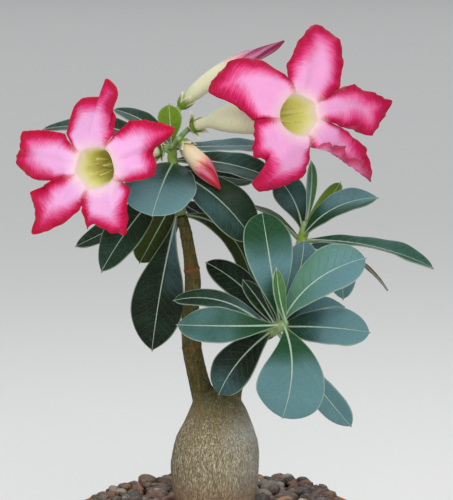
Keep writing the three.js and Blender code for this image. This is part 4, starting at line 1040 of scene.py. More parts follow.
def leaf_relief(leaf, settings, shares, along, half, turn):
    """How far a leaf's blade rises, its thickness, and its groove above and midrib beneath."""
    side = across_blade(2 * LEAF_COLUMNS + 1)[None]
    rows = shares[:, None]
    wide = half[:, None]
    beside = wide * side
    share_of_width = 2 * wide / leaf.width
    dip = math.sqrt(FOLD_SOFTNESS)
    soft = (np.sqrt(side**2 + FOLD_SOFTNESS) - dip) / (math.sqrt(1 + FOLD_SOFTNESS) - dip)
    waves = np.sin(TAU * LEAF_WAVES * rows + np.where(side > 0, 0, 2))
    crimp = np.sin(TAU * LEAF_CRIMPS * rows + turn + np.where(side > 0, 0, 1.4))
    lift = (wide * soft * math.sin(math.radians(leaf.fold))
            + leaf.wave * share_of_width * side**2 * waves
            + CRIMP_SHARE * leaf.wave * share_of_width * side**4 * crimp)
    lift = lift - 0.05 * wide * side**6
    course = (along[:, None] - VEIN_SLANT * wide * np.abs(side)) / settings.vein_spacing
    bulge = settings.quilting * np.sin(math.pi * np.mod(course, 1))
    lift = lift + bulge * (1 - side**2) * share_of_width
    neck = np.exp(-rows / NECK)
    thin = settings.thickness * np.sqrt(1 - side**6)
    thickness = thin * (1 - neck) + settings.petiole * np.sqrt(1 - side**2) * neck
    ridge = RIB_HEIGHT * (1 - rows) ** 0.8 * bell(beside, RIB_WIDTH) * (1 - neck)
    groove = -GROOVE_DEPTH * (1 - rows) * bell(beside, GROOVE_WIDTH) * (1 - neck)
    return lift, thickness, (groove, ridge)


def leaf_piece(name, leaf, settings, material, seed):
    """A leaf's petiole and blade, in rows that lie closer toward its tip."""
    shares = 1 - (1 - np.linspace(0, 1, LEAF_ROWS)) ** 1.7
    shares[-1] = NEARLY_ONE
    centres = midrib(leaf, SHOOTS[name.split("_")[0]], shares)
    across = unit(np.cross(leaf.faces, unit(np.gradient(centres, axis=0))))
    along = along_line(centres)
    half = half_width(leaf, shares, along[-1], settings.petiole)
    draw = random.Random(seed)
    relief = leaf_relief(leaf, settings, shares, along, half, draw.uniform(0, TAU))
    rings, sides, upper = blade_rings(centres, across, half, *relief)
    points, faces = loft(rings)
    row = np.repeat(np.arange(LEAF_ROWS), rings.shape[1])
    beside = np.tile(sides, LEAF_ROWS)
    upper = np.tile(upper, LEAF_ROWS)
    leaning = np.clip(1 + leaf.lean * 1.6 * beside, 0, 1.3)
    # painted sheen: how much bluish sheen is painted at each point, moved toward one half by lean
    painted_sheen = np.clip(np.interp(shares[row], PAINTED_SHEEN_PLACES, leaf.painted_sheen) * leaning, 0, 1)
    tone = np.array(getattr(settings, leaf.tone)) * draw.uniform(0.88, 1.12)
    layers = {
        "blade": with_ends(along[row], half[row] * beside, half[row]),
        "lie": with_ends(shares[row], upper, painted_sheen),
        "tone": np.tile(tone, (len(points), 1)),
    }
    return make_piece(f"{name}_blade", points, faces, material, (f"leaf_{name}",), layers)


# ---------- blooms ----------

TUBE = [(0.04, 1.8), (0.15, 2.1), (0.27, 4.6), (0.45, 6.2), (0.84, 7.0), (1, 8.5)]
CUP = 1.15                       # the tube's foot stands this far above the calyx's
TUBE_ROWS = 26
PETAL_COLUMNS = 56
PETAL_ROWS = 34
NOTCH_DEPTH = 0.8                # where two petals part, as a share of the way to their ends
SEAM = 0.5                       # share of a petal's length up to which it is joined
PETAL_LIFT = 3.5                 # how far a petal rises out of the mouth before it spreads
OVERLAP = 0.9                    # how far one edge of a petal stands in front of its neighbour
OVERLAP_FROM = 0.14              # share of a petal's length from which that edge is coloured
PLEAT = 0.35                     # depth of the soft pleats along a petal
ACROSS = np.linspace(0, 1, PETAL_COLUMNS + 1)
OUTWARD = np.linspace(0, 1, PETAL_ROWS + 1)[1:]

# The stamens' column and anther cone: (share of the tube, radius)
ANTHER_CONE = [(0.075, 1.0), (0.17, 1.2), (0.36, 2.3), (0.55, 2.4), (0.78, 0.4)]
# Each of their threads: (share of the tube, distance from its middle, radius)
THREAD = [(0.5, 1.0, 0.6), (0.62, 2.2, 0.55), (0.74, 2.6, 0.5), (0.97, 3.4, 0.3)]


def tube_line(bloom):
    """Controls of the curve from the calyx to the middle of the mouth."""
    foot, mouth = np.array(bloom.foot, float), np.array(bloom.mouth, float)
    leaves, faces = unit(bloom.leaves), unit(bloom.faces)
    start = foot + leaves * CUP
    reach = 0.38 * np.linalg.norm(mouth - start)
    return [start, start + leaves * reach, mouth - faces * reach, mouth]


def mouth_axes(faces):
    """Forward out of the mouth, across it to the right as seen from the front, and up."""
    forward = unit(faces)
    up = unit(np.array((0, 0, 1)) - forward * forward[2])
    return forward, np.cross(up, forward), up


def tube_ring(line, share, mouth):
    """Middle, across and up at a share of the tube, turned from those of the mouth."""
    points = bent_line(line, [share - 1e-3, share, share + 1e-3])
    tangent = unit(points[2] - points[0])
    turn = Vector(mouth[0]).rotation_difference(Vector(tangent))
    return points[1], np.array(turn @ Vector(mouth[1])), np.array(turn @ Vector(mouth[2]))


def parting_turns(petals):
    """How far round the mouth each petal parts from the one before it, in radians."""
    parts = []
    for k, petal in enumerate(petals):
        end, start = (math.atan2(up, across) for across, up, _ in (petals[k - 1][-1], petal[0]))
        parts.append(end + ((start - end) % TAU) / 2)
    return parts


def tube_rows(line, mouth, turns, around):
    """Rows of one petal's part of the tube, and their facts."""
    length = along_line(bent_line(line, np.linspace(0, 1, 50)))[-1]
    level = np.ones_like(around)
    rows, facts = [], []
    for share, radius in smooth_line(TUBE, np.linspace(0, 1, TUBE_ROWS), 0.4):
        centre, side, top = tube_ring(line, share, mouth)
        ridge = 1 + 0.035 * np.cos(10 * math.pi * around) * min(1, 3 * share)
        reach = (radius * ridge)[:, None]
        way = side * np.cos(turns)[:, None] + top * np.sin(turns)[:, None]
        rows.append(centre + reach * way)
        depth = (1 - share) * length * level
        facts.append(np.column_stack([around, -depth, 2.0 * level, depth]))
    return np.vstack(rows), np.vstack(facts)


def petal_curve(base, end, shares, forward):
    """From the tube's rim out of the mouth, over and outward to a point of a petal's end."""
    first = base + forward * 1.6 + (end - base) * 0.06
    knee = base + (end - base) * 0.46 + forward * PETAL_LIFT
    return bent_line([base, first, knee, end], shares)


def petal_body(rim, end, notches, forward):
    """Rows of a plain petal from the tube's rim to its end, its sides drawn in to the notches."""
    straight = np.array([petal_curve(a, b, OUTWARD, forward) for a, b in zip(rim, end)])
    free = np.clip((OUTWARD - SEAM) / (1 - SEAM), 0, 1)[:, None]
    body = straight
    for j, notch, pull in zip((0, -1), notches, ((1 - ACROSS) ** 4, ACROSS**4)):
        joined = petal_curve(rim[j], notch, np.minimum(OUTWARD / SEAM, 1), forward)
        edge = np.where(OUTWARD[:, None] <= SEAM, joined, notch + (end[j] - notch) * free)
        body = body + (edge - straight[j]) * pull[:, None, None]
    return body.transpose(1, 0, 2)


def petal_rows(bloom, number, body, rim, settings, seed):
    """A petal's points with its waves, pleats and fold. Also how far out of the tube each point is,
    and how far from the coloured edge, as a share of the band's width."""
    forward = unit(bloom.faces)
    margin, seam = petal_margin(body)
    flat = body.reshape(-1, 3)
    away, arc = nearest(flat, margin)
    from_seam, _ = nearest(flat, seam)
    out = np.linalg.norm(flat - np.tile(rim, (PETAL_ROWS, 1)), axis=1)
    frill = settings.ruffle * bloom.frills[number]
    growing = np.clip(out / 12, 0, 1)
    turn = 2.1 * number + 3.7 * seed
    wave = np.sin(arc * 0.62 + turn) + 0.6 * np.sin(arc * 1.21 + 1.7 * turn)
    cross = np.tile(ACROSS, PETAL_ROWS)
    shift = (frill * wave * np.exp(-away / 3.4) + OVERLAP * (1 - 2 * cross) ** 3
             + PLEAT * np.cos(3 * TAU * cross) + roughness_at(flat, 0.09, seed + number) * 1.1)
    if number in bloom.folds:
        flat = folded(flat, bloom, number, arc, growing)
    from_middle = flat - np.array(bloom.mouth, float)
    outer = unit(from_middle - forward * (from_middle @ forward)[:, None])
    rough = 1.1 * frill * roughness_along(arc, 0.42, turn) * np.exp(-away / 1.6)
    flat = flat + forward * (shift * growing)[:, None] + outer * (rough * growing)[:, None]
    width = settings.band * (0.2 + 0.8 * np.clip(out / 20, 0, 1))
    seam_width = 0.5 + 2.4 * np.clip(out / 14, 0, 1)
    edge = np.minimum(away / width, from_seam / seam_width + np.clip(1 - out / 5, 0, 1))
    return flat, out, edge


def corolla_sheet(bloom, settings, seed):
    """Tube and petals as one sheet of quads. Also the facts of each point: how far round it is, how
    far out of the mouth, how far from the coloured edge, and how deep in the tube."""
    line = tube_line(bloom)
    mouth = mouth_axes(bloom.faces)
    forward, across, up = mouth
    middle = np.array(bloom.mouth, float)
    count = len(bloom.petals)
    parts = parting_turns(bloom.petals)
    ends = []
    for petal in bloom.petals:
        end = smooth_line(petal, ACROSS, 0.45)
        ends.append(middle + end[:, :1] * across + end[:, 1:2] * up + end[:, 2:] * forward)
    gaps = [(ends[k - 1][-1] + ends[k][0]) / 2 for k in range(count)]
    notches = [middle + (gap - middle) * NOTCH_DEPTH for gap in gaps]
    rows = TUBE_ROWS + PETAL_ROWS
    points, faces, facts = [], [], []
    for k in range(count):
        after = (k + 1) % count
        around = (k + ACROSS) / count
        sweep = (parts[after] - parts[k]) % TAU
        wall, wall_facts = tube_rows(line, mouth, parts[k] + sweep * ACROSS, around)
        rim = wall[-len(ACROSS):]
        body = petal_body(rim, ends[k], (notches[k], notches[after]), forward)
        petal, out, edge = petal_rows(bloom, k, body, rim, settings, seed)
        points += [wall, petal]
        facts += [wall_facts, np.column_stack([np.tile(around, PETAL_ROWS), out, edge, -out])]
        grid = np.arange(rows * len(ACROSS)).reshape(rows, -1) + k * rows * len(ACROSS)
        quads = np.stack([grid[:-1, :-1], grid[:-1, 1:], grid[1:, 1:], grid[1:, :-1]], -1)
        faces.append(quads.reshape(-1, 4))
    return np.vstack(points), np.vstack(faces), np.vstack(facts)


def folded(points, bloom, number, arc, growing):
    """Turns the part of a petal on the right of its crease forward, by a wavy amount."""
    crease, degrees, uneven = bloom.folds[number]
    forward, across, up = mouth_axes(bloom.faces)
    seen = points - np.array(bloom.mouth, float)
    flat = np.column_stack([seen @ across, seen @ up])
    crease = np.array(crease, float)
    best = np.full(len(flat), np.inf)
    beyond = np.zeros(len(flat))
    outward = np.zeros((len(flat), 2))
    for start, end in zip(crease, crease[1:]):
        way = unit(end - start)
        right = np.array((way[1], -way[0]))
        share = np.clip((flat - start) @ way, 0, np.linalg.norm(end - start))
        gap = flat - start - share[:, None] * way
        distance = np.linalg.norm(gap, axis=1)
        nearer = distance < best
        best = np.where(nearer, distance, best)
        beyond = np.where(nearer, gap @ right, beyond)
        outward = np.where(nearer[:, None], right, outward)
    beyond = np.maximum(beyond, 0) * growing
    turn = math.radians(degrees)
    wave = 1 + uneven * roughness_along(arc, 0.28, number)
    slide = beyond * (math.cos(turn) * wave - 1)
    moved = outward[:, :1] * across + outward[:, 1:] * up
    return points + moved * slide[:, None] + forward * (beyond * math.sin(turn) * wave)[:, None]


def petal_margin(body):
    """The edge round a petal, with the side that overlaps its neighbour, and the other seam."""
    free = OUTWARD > SEAM
    open_side = OUTWARD > OVERLAP_FROM
    margin = np.concatenate([body[open_side, 0][:-1], body[-1], body[free, -1][::-1][1:]])
    seam = body[~free, -1]
    fine = np.linspace(0, len(margin) - 1, 8 * len(margin))
    margin = np.stack([np.interp(fine, np.arange(len(margin)), margin[:, k]) for k in range(3)], 1)
    return margin, seam


def nearest(points, line):
    """Distance from each point to a line of points, and how far along the line that is."""
    gaps = np.linalg.norm(points[:, None] - line[None], axis=2)
    best = gaps.argmin(1)
    return gaps[np.arange(len(points)), best], along_line(line)[best]


def corolla_piece(side, bloom, settings, material, seed):
    """A bloom's tube and petals as one solid, thinner toward the petals' edges."""
    points, faces, facts = corolla_sheet(bloom, settings, seed)
    points, faces, kept = welded(points, faces)
    facts = facts[kept]
    thickness = settings.thickness * (0.55 + 0.45 * np.clip(facts[:, 2] * 1.2, 0, 1))
    points, faces, front = thicken(points, faces, thickness)
    facts = np.vstack([facts, facts])
    layers = {
        "petal": facts[:, :3],
        "lie": np.column_stack([facts[:, 3], 1 - front, np.zeros(len(front))]),
    }
    return make_piece(f"corolla_{side}", points, faces, material, (f"bloom_{side}",),
                      layers)


def stamen_piece(side, bloom, material):
    """The column, the ridged anther cone and five fringed threads that reach for the mouth."""
    line = tube_line(bloom)
    mouth = mouth_axes(bloom.faces)
    column = [(*tube_ring(line, share, mouth)[0], radius) for share, radius in ANTHER_CONE]

    def ridged(share, turn):
        return 1 + 0.12 * np.cos(5 * turn) * np.clip(6 * share - 1.5, 0, 1)

    def fringed(share, turn):
        return 1 + 0.25 * np.sin(70 * share + 2 * turn)

    solids = [tube(column, 30, 60, ridged)]
    for k in range(5):
        turn = TAU * k / 5 + 0.3
        stations = []
        for share, out, radius in THREAD:
            centre, across, up = tube_ring(line, share, mouth)
            place = centre + across * out * math.cos(turn) + up * out * math.sin(turn)
            stations.append((*place, radius))
        solids.append(tube(stations, 10, 60, fringed))
    points, faces = gathered(map(loft, solids))
    facts = []
    for rings in solids:
        along = np.repeat(np.linspace(0, 1, len(rings)), rings.shape[1])
        facts.append(with_ends(along, 0 * along, 0 * along))
    return make_piece(f"anthers_{side}", points, faces, material, (f"stamens_{side}",),
                      {"furl": np.vstack(facts)})


# ---------- calyces and buds ----------

CALYX_CUP = [(-0.3, 1.4), (0.3, 1.9), (1.2, 2.6), (2.3, 2.2)]       # (height, radius)
SEPAL_ROWS = 22
SEPAL_COLUMNS = 11
SEPAL_HALF = 1.75                # about half a sepal's width
SEPAL_THICKNESS = 0.55
SEPAL_RIDGE = 0.22
BUD_ROWS = 90
BUD_SIDES = 90
FURL_STEP = 0.13                 # how far a furled edge stands out, as a share of the bud's radius


def calyx_piece(name, node, foot, leaves, shape, material):
    """A small cup with five pointed sepals that bend outward."""
    spread, rise = shape
    way = unit(leaves)
    side = unit(np.cross((0, 0, 1), way))
    up = np.cross(way, side)
    foot = np.array(foot, float)
    cup = [(*(foot + way * height), radius) for height, radius in CALYX_CUP]
    solids = [loft(tube(cup, 30, 14))]
    facts = [np.zeros((len(solids[0][0]), 3))]
    shares = np.linspace(0, 1, SEPAL_ROWS)
    shares[-1] = NEARLY_ONE
    beside = across_blade(SEPAL_COLUMNS)[None]
    half = SEPAL_HALF * (1 - shares) ** 0.75 * (1 + 0.35 * np.sin(math.pi * shares))
    wide = half[:, None]
    lift = wide * beside**2 * 0.35
    thickness = SEPAL_THICKNESS * np.sqrt(1 - beside**4) * (1 - 0.4 * shares[:, None])
    ridge = SEPAL_RIDGE * bell(wide * beside, 0.4) * (1 - shares[:, None])
    reaches = [(0.5, 1.7), (0.45 * rise, 3.1), (0.9 * rise, 0.55 * spread + 1.4), (rise, spread)]
    for k in range(5):
        turn = TAU * (2 * k + 1) / 10
        out = side * math.cos(turn) + up * math.sin(turn)
        centres = bent_line([foot + way * ahead + out * aside for ahead, aside in reaches], shares)
        around = np.cross(way, out) * np.ones_like(centres)
        rings, sides, _ = blade_rings(centres, around, half, lift, thickness, (0 * ridge, ridge))
        solids.append(loft(rings))
        rows = np.repeat(shares, rings.shape[1])
        facts.append(with_ends(rows, 0 * rows, np.tile(sides, SEPAL_ROWS)))
    points, faces = gathered(solids)
    return make_piece(name, points, faces, material, (node,), {"furl": np.vstack(facts)})


def bud_piece(name, bud, material):
    """Five petals wound round each other: each free edge stands out as a step."""

    def fold_at(share, turn):
        return np.mod(5 * (turn + bud.twist * share * 1.6) / TAU, 1)

    def profile(share, turn):
        fold = fold_at(share, turn)
        step = np.where(fold < 0.9, fold / 0.9, (1 - fold) / 0.1)
        open_part = np.clip((share - bud.furl) / 0.2, 0, 1)
        return 1 + FURL_STEP * (step - 0.5) * open_part

    points, faces = loft(tube(bud.stations, BUD_SIDES, BUD_ROWS, profile))
    shares, turns = np.meshgrid(np.linspace(0, 1, BUD_ROWS), turns_round(BUD_SIDES), indexing="ij")
    fold = fold_at(shares, turns) * (shares > bud.furl)
    return make_piece(f"furled_{name}", points, faces, material, (f"bud_{name}",),
                      {"furl": with_ends(shares, fold, turns)})


# ---------- caudex, stems and shoots ----------

# Leaf scars on the main stem: (height, strength)
TRUNK_SCARS = [
    (142, 0.25), (152.5, 0.6), (160, 0.2), (172, 0.25), (185.5, 1.0), (193, 0.3), (200, 0.4),
]
SCAR_HEIGHT = 0.35
CAUDEX_ROWS = 60
CAUDEX_SIDES = 64
CAUDEX_SOFTENING = 10            # rounds of smoothing that take the corners off the profile
SHOOT_VOXEL = 0.4                # size of the faces that join the green stems


def caudex_rings():
    """Rings of the turned body, slightly lobed."""
    line = smooth_line(CAUDEX, np.linspace(0, 1, CAUDEX_ROWS))
    for _ in range(CAUDEX_SOFTENING):
        line[1:-1] = (line[:-2] + 2 * line[1:-1] + line[2:]) / 4
    heights, middle, half = line.T[:, :, None]
    turns = turns_round(CAUDEX_SIDES)
    lobe = (1 + 0.025 * np.cos(2 * turns + 0.06 * heights)
            + 0.015 * np.cos(5 * turns - 0.03 * heights))
    reach = half * lobe
    return np.stack([middle + reach * np.cos(turns), CAUDEX_DEPTH * reach * np.sin(turns),
                     heights + 0 * reach], -1)


def caudex_piece(bark, material):
    """The swollen base flowing into its stems, with wrinkles, lumps and leaf scars."""
    stems = [tube(TRUNK, 28, 140), tube(SECOND_STEM, 24, 90), tube(SIDE_STEM, 24, 80)]
    solids = [loft(rings) for rings in [caudex_rings(), *stems]]
    points, faces = join_solids(solids, bark.voxel, 7)
    height = points[:, 2]
    outward = np.column_stack([points[:, 0], points[:, 1], np.zeros(len(points))])
    line = smooth_line([s[:3] for s in TRUNK], np.linspace(0, 1, 200))
    on_trunk, _ = nearest(points, line)
    rows = np.searchsorted(line[:, 2], height).clip(0, len(line) - 1)
    woody = np.clip((height - 118) / 16, 0, 1)
    scar = np.zeros(len(points))
    for level, strength in TRUNK_SCARS:
        tilt = 0.25 * (points[:, 0] - line[rows, 0])
        ring = bell(height - level - tilt, 0.6) * (on_trunk < 6)
        scar = np.maximum(scar, strength * ring)
    outward[:, 0] -= np.where(woody > 0, line[rows, 0], 0)
    outward = unit(outward)
    wrinkle = roughness_at(points * (1, 1, 0.3), 0.55, 1)
    wrinkle = wrinkle + 0.5 * roughness_at(points * (1, 1, 0.4), 1.2, 2)
    lump = roughness_at(points, 0.12, 3)
    push = bark.wrinkle * wrinkle * (1 - 0.5 * woody) + 0.35 * lump + SCAR_HEIGHT * scar
    points = points + outward * push[:, None]
    to_right = np.clip(points[:, 0] / 14, 0, 1)
    # painted rim light: paler grey toward the right side, strongest round the shoulder
    painted_rim_light = to_right * np.maximum(bell(height - 117, 10), 0.6 * to_right)
    # painted shade: darker toward the left side
    painted_shade = np.clip(-points[:, 0] / 17, 0, 1) ** 2
    layers = {
        "bark": np.column_stack([height, scar, woody]),
        "lie": np.column_stack([painted_rim_light, painted_shade, 0 * painted_rim_light]),
    }
    return make_piece("bark_caudex", points, faces, material, ("caudex",), layers)


def shoot_piece(name, node, solids, ripe_under, material):
    """Green stems joined in one skin, browner under the height ripe_under."""
    points, faces = join_solids(map(loft, solids), SHOOT_VOXEL, 3)
    knot = roughness_at(points, 0.5, 5)
    middle = points.mean(0)
    ripe = np.clip((ripe_under - points[:, 2]) / 8, 0, 1)
    points = points + unit(points - middle) * (0.12 * knot)[:, None]
    return make_piece(name, points, faces, material, (node,),
                      {"bark": np.column_stack([points[:, 2], ripe, 0 * ripe])})


def flower_stalk(flower):
    """Rings of the stalk from the crown to a flower's foot."""
    way = unit(flower.leaves)
    end = np.array(flower.foot, float) + way * 0.4
    neck = end - way * 2.2
    return tube([(*CROWN, 1.5), (*flower.past, 1.25), (*neck, 1.25), (*end, 1.5)], 16, 50)


def node_rings(stations, sides=20, rows=60):
    """A green shoot, a little swollen where each leaf leaves it."""
    return tube(stations, sides, rows, lambda s, t: 1 + 0.07 * np.cos(26 * s + t))


# ---------- gravel ----------

GRAVEL_REACH = 58.2
GRAVEL_SLOPE = 5
GRAVEL_EDGE, GRAVEL_SHOULDER, GRAVEL_CROWN = 75.5, 80.5, 81.0
LARGE_STONES = 76
LARGE_RADIUS = 4.8
PEBBLE_SEED = 7                  # sizes and turns the large stones, as in the part's source
STONE_SEED = 11                  # shapes all stones, and places the small ones
SPIRAL_START = 14                # radius where the spiral of large stones starts
LARGE_CLEAR, SMALL_CLEAR = 19.5, 17.5        # no large or small stone nearer the caudex's middle
STONE_COLOURS = [shade(code) for code in (
    0x2E221A, 0x5E4736, 0x84502C, 0xA8703F, 0xB9AFA0, 0x8A7D6E, 0x463629, 0x6B4535, 0x3B322B)]
GRIT_ROWS, GRIT_SIDES = 44, 96
GRIT_HOLE = 14.0                 # radius of the grit's inner edge, inside the caudex
GRIT_SUNK = 0.6                  # how far the grit lies under the bed's height
GRIT_UNDERSIDE = 73.4


def gravel_height(radius):
    """The bed's height: a low crown that slopes off near the rim."""
    shoulder = GRAVEL_REACH - GRAVEL_SLOPE
    if radius < shoulder:
        return GRAVEL_CROWN + (GRAVEL_SHOULDER - GRAVEL_CROWN) * radius / shoulder
    return GRAVEL_SHOULDER + (GRAVEL_EDGE - GRAVEL_SHOULDER) * (radius - shoulder) / GRAVEL_SLOPE


def seeded(state):
    """Shares from 0 to 1, by the rule that also sizes the pebbles in the part's source."""
    while True:
        state = (state * 1664525 + 1013904223) % 2**32
        yield state / 2**32


def round_ball(subdivisions):
    """Points and faces of a ball of radius 1."""
    ball = bmesh.new()
    bmesh.ops.create_icosphere(ball, subdivisions=subdivisions, radius=1)
    points = np.array([v.co for v in ball.verts])
    faces = [[v.index for v in f.verts] for f in ball.faces]
    ball.free()
    return points, faces


def stone(ball, size, turn, tip, draw):
    """A rounded, chipped stone of that size (long, wide, high)."""
    shape = np.array(ball)
    for _ in range(9):
        chip = unit([draw.gauss(0, 1) for _ in range(3)])
        over = np.maximum(0, shape @ chip - draw.uniform(0.55, 0.9))
        shape = shape - np.outer(over * 0.9, chip)
    shape = shape * (1 + 0.07 * roughness_at(ball, 1.7, draw.uniform(0, 50)))[:, None]
    shape = shape * size
    c, s = math.cos(turn), math.sin(turn)
    spin = np.array([[c, -s, 0], [s, c, 0], [0, 0, 1]])
    ct, st = math.cos(tip), math.sin(tip)
    lean = np.array([[1, 0, 0], [0, ct, -st], [0, st, ct]])
    return shape @ (lean @ spin).T


def stones_piece(pot, material):
    """The large stones where the gravel bed has them, and small ones between."""
    ball, ball_faces = round_ball(3)
    small_ball, small_faces = round_ball(2)
    rule = seeded(PEBBLE_SEED)
    draw = random.Random(STONE_SEED)
    stones, tones = [], []

    def add(shape, faces, x, y, z):
        stones.append((shape + (x, y, z), faces))
        # partly painted shade: each stone is darkened by a random share, down to a fifth, and the
        # dark end stands in for the shade over the gravel
        tone = np.array(draw.choice(STONE_COLOURS)) * draw.uniform(0.2, 1.0)
        tones.append(np.tile(tone, (len(shape), 1)))

    reach = GRAVEL_REACH - 1.1 * LARGE_RADIUS
    start = SPIRAL_START / reach
    for k in range(LARGE_STONES):
        radius = reach * math.sqrt(start**2 + (1 - start**2) * (k + 0.5) / LARGE_STONES)
        turn = k * math.pi * (3 - math.sqrt(5))
        size = [LARGE_RADIUS * share * (0.85 + 0.3 * next(rule)) for share in (1.25, 1.0, 0.78)]
        spin = TAU * next(rule)
        tip = 0.5 * (next(rule) - 0.5)
        x, y = radius * math.cos(turn), radius * math.sin(turn)
        z = gravel_height(radius) + 0.25 * size[2]
        if math.hypot(x, y / CAUDEX_DEPTH) < LARGE_CLEAR:
            continue
        add(stone(ball, np.array(size) * (0.95, 0.95, 1), spin, tip, draw), ball_faces, x, y, z)
    for k in range(pot.small_stones):
        near_rim = k % 3 == 0
        inner = GRAVEL_REACH - 5.5 if near_rim else SMALL_CLEAR
        radius = math.sqrt(draw.uniform(inner**2, (GRAVEL_REACH - 1.2) ** 2))
        turn = draw.uniform(0, TAU)
        width = draw.uniform(1.4, 3.0)
        size = np.array([draw.uniform(1.0, 1.4), 1.0, draw.uniform(0.65, 0.9)]) * width
        z = gravel_height(radius) + draw.uniform(0.3, 1.3) * size[2]
        shape = stone(small_ball, size, draw.uniform(0, TAU), draw.uniform(-0.4, 0.4), draw)
        add(shape, small_faces, radius * math.cos(turn), radius * math.sin(turn), z)
    points, faces = gathered(stones)
    return make_piece("gravel_stones", points, faces, material, ("gravel",),
                      {"tone": np.vstack(tones)})


def grit_piece(material):
    """The dark grit under and between the stones."""
    shares = np.linspace(0, 1, GRIT_ROWS)
    radii = GRIT_HOLE + (GRAVEL_REACH - GRIT_HOLE) * shares
    top = turned(radii, [gravel_height(radius) - GRIT_SUNK for radius in radii], GRIT_SIDES)
    bump = roughness_at(top.reshape(-1, 3), 0.5, 9).reshape(GRIT_ROWS, GRIT_SIDES)
    top[..., 2] += 0.7 * bump * (shares < 0.98)[:, None]
    under = top[[-1, 0]].copy()
    under[0, :, :2] *= 0.985
    under[:, :, 2] = GRIT_UNDERSIDE
    rings = np.concatenate([under[1:], top, under[:1]])
    points = rings.reshape(-1, 3)
    faces = ring_faces(len(rings) + 1, GRIT_SIDES) % len(points)
    return make_piece("grit_bed", points, faces.tolist(), material)


# ---------- pot ----------

RIM_BAND = 18                    # height of the rim band
RIM_STEP = 2.5                   # how far it stands out
POT_FLOOR = 6                    # thickness of the pot's floor
POT_SIDES = 160
FINE_STEP = 3                    # the longest straight piece of the profile
DRAIN_RADIUS = 5
DRAIN_RING = 22
DRAIN_COUNT = 3


def rounded(profile, radius, steps=5):
    """The profile of (radius, height) with its corners rounded off."""
    corners = np.array(profile, float)
    line = [corners[0]]
    for before, corner, after in zip(corners, corners[1:], corners[2:]):
        back = min(radius, *(0.45 * np.linalg.norm(end - corner) for end in (before, after)))
        first = corner + unit(before - corner) * back
        last = corner + unit(after - corner) * back
        line.extend(bent_line([first, corner, last], np.linspace(0, 1, steps)))
    line.append(corners[-1])
    return np.array(line)


def pot_piece(pot, material):
    """The turned pot: foot, wall, rim band and inside, with drain holes in its floor."""
    under_band = pot.height - RIM_BAND
    body = pot.radius - RIM_STEP
    slope = (body - pot.foot) / under_band
    inner_low = pot.foot + slope * POT_FLOOR - pot.wall
    inner_band = body - pot.wall
    inner_top = inner_band + RIM_STEP - 0.5
    profile = rounded([
        (0.01, 0), (pot.foot, 0), (body - 0.5, under_band - 0.8), (pot.radius, under_band + 0.3),
        (pot.radius, pot.height), (inner_top, pot.height), (inner_band, under_band),
        (inner_low, POT_FLOOR), (0.01, POT_FLOOR),
    ], 1.6)
    fine = []
    for a, b in zip(profile, profile[1:]):
        steps = max(1, int(np.linalg.norm(b - a) / FINE_STEP))
        fine.extend(a + (b - a) * (k / steps) for k in range(steps))
    fine.append(profile[-1])
    points, faces = loft(turned(*zip(*fine), POT_SIDES))
    drill(make_piece("clay_pot", points, faces, material, ("pot",)))


def drill(piece):
    """Cuts the drain holes."""
    bits = bmesh.new()
    for k in range(DRAIN_COUNT):
        turn = TAU * (k + 0.25) / DRAIN_COUNT
        place = Vector((math.cos(turn), math.sin(turn), 0)) * DRAIN_RING * MM
        made = bmesh.ops.create_cone(bits, cap_ends=True, segments=40, radius1=DRAIN_RADIUS * MM,
                                     radius2=DRAIN_RADIUS * MM, depth=4 * POT_FLOOR * MM)
        bmesh.ops.translate(bits, verts=made["verts"], vec=place)
    mesh = bpy.data.meshes.new("drill_bits")
    bits.to_mesh(mesh)
    bits.free()
    tool = link_new("drill_bits", mesh)
    cut = piece.modifiers.new("Drains", "BOOLEAN")
    cut.object = tool
    cut.operation = "DIFFERENCE"
    cut.solver = "EXACT"
    ready = piece.evaluated_get(bpy.context.evaluated_depsgraph_get())
    drilled = bpy.data.meshes.new_from_object(ready)
    piece.modifiers.clear()
    piece.data = drilled
    bpy.data.objects.remove(tool)
    bpy.data.meshes.remove(mesh)


# ---------- stage ----------

TARGET = (4.83, 0, 193.77)       # what the camera looks at
DISTANCE = 840
ELEVATION = 9                    # degrees
FLOOR_HALF = 40.0                # metres
LIT_POINT = (0, 0, 180)          # what the lights point at

# The lights: place, width and height, the setting that gives the power, and tint
SOFTBOXES = {
    "key": ((160, -880, 620), (520, 520), "key", (1.0, 0.985, 0.96)),
    "fill": ((-600, -620, 640), (500, 500), "fill", (0.95, 0.97, 1.0)),
    "rim": ((60, 420, 820), (700, 500), "fill", (0.95, 0.98, 1.0)),
    "ceiling": ((0, 10, 8000), (24000, 24000), "ceiling", (0.97, 0.985, 1.0)),
}
SKY = (0.86, 0.89, 0.94, 1)
SKY_STRENGTH = 0.27


def aim(thing, place, target):
    """Puts a camera or light at a place, looking at the target."""
    thing.location = Vector(place) * MM
    way = (Vector(target) - Vector(place)).normalized()
    thing.rotation_mode = "QUATERNION"
    thing.rotation_quaternion = way.to_track_quat("-Z", "Y")


def add_camera(stage):
    """The camera, which looks a little down on the plant."""
    data = bpy.data.cameras.new("camera")
    data.lens = stage.lens
    data.sensor_width = 36
    data.clip_start, data.clip_end = 0.01, 200
    camera = link_new("camera", data)
    tilt = math.radians(ELEVATION)
    back, above = DISTANCE * math.cos(tilt), DISTANCE * math.sin(tilt)
    aim(camera, (TARGET[0], TARGET[1] - back, TARGET[2] + above), TARGET)
    bpy.context.scene.camera = camera


def add_softbox(name, place, size, power, tint):
    """A soft rectangular light."""
    data = bpy.data.lights.new(name, "AREA")
    data.shape = "RECTANGLE"
    data.size, data.size_y = size[0] * MM, size[1] * MM
    data.energy = power
    data.color = tint
    aim(link_new(name, data), place, LIT_POINT)


def add_floor(stage):
    """The wide floor."""
    mesh = bpy.data.meshes.new("floor")
    h = FLOOR_HALF
    mesh.from_pydata([(-h, -h, 0), (h, -h, 0), (h, h, 0), (-h, h, 0)], [], [(0, 1, 2, 3)])
    mesh.materials.append(floor_material(stage))
    floor = link_new("floor", mesh)


# ---------- operators ----------

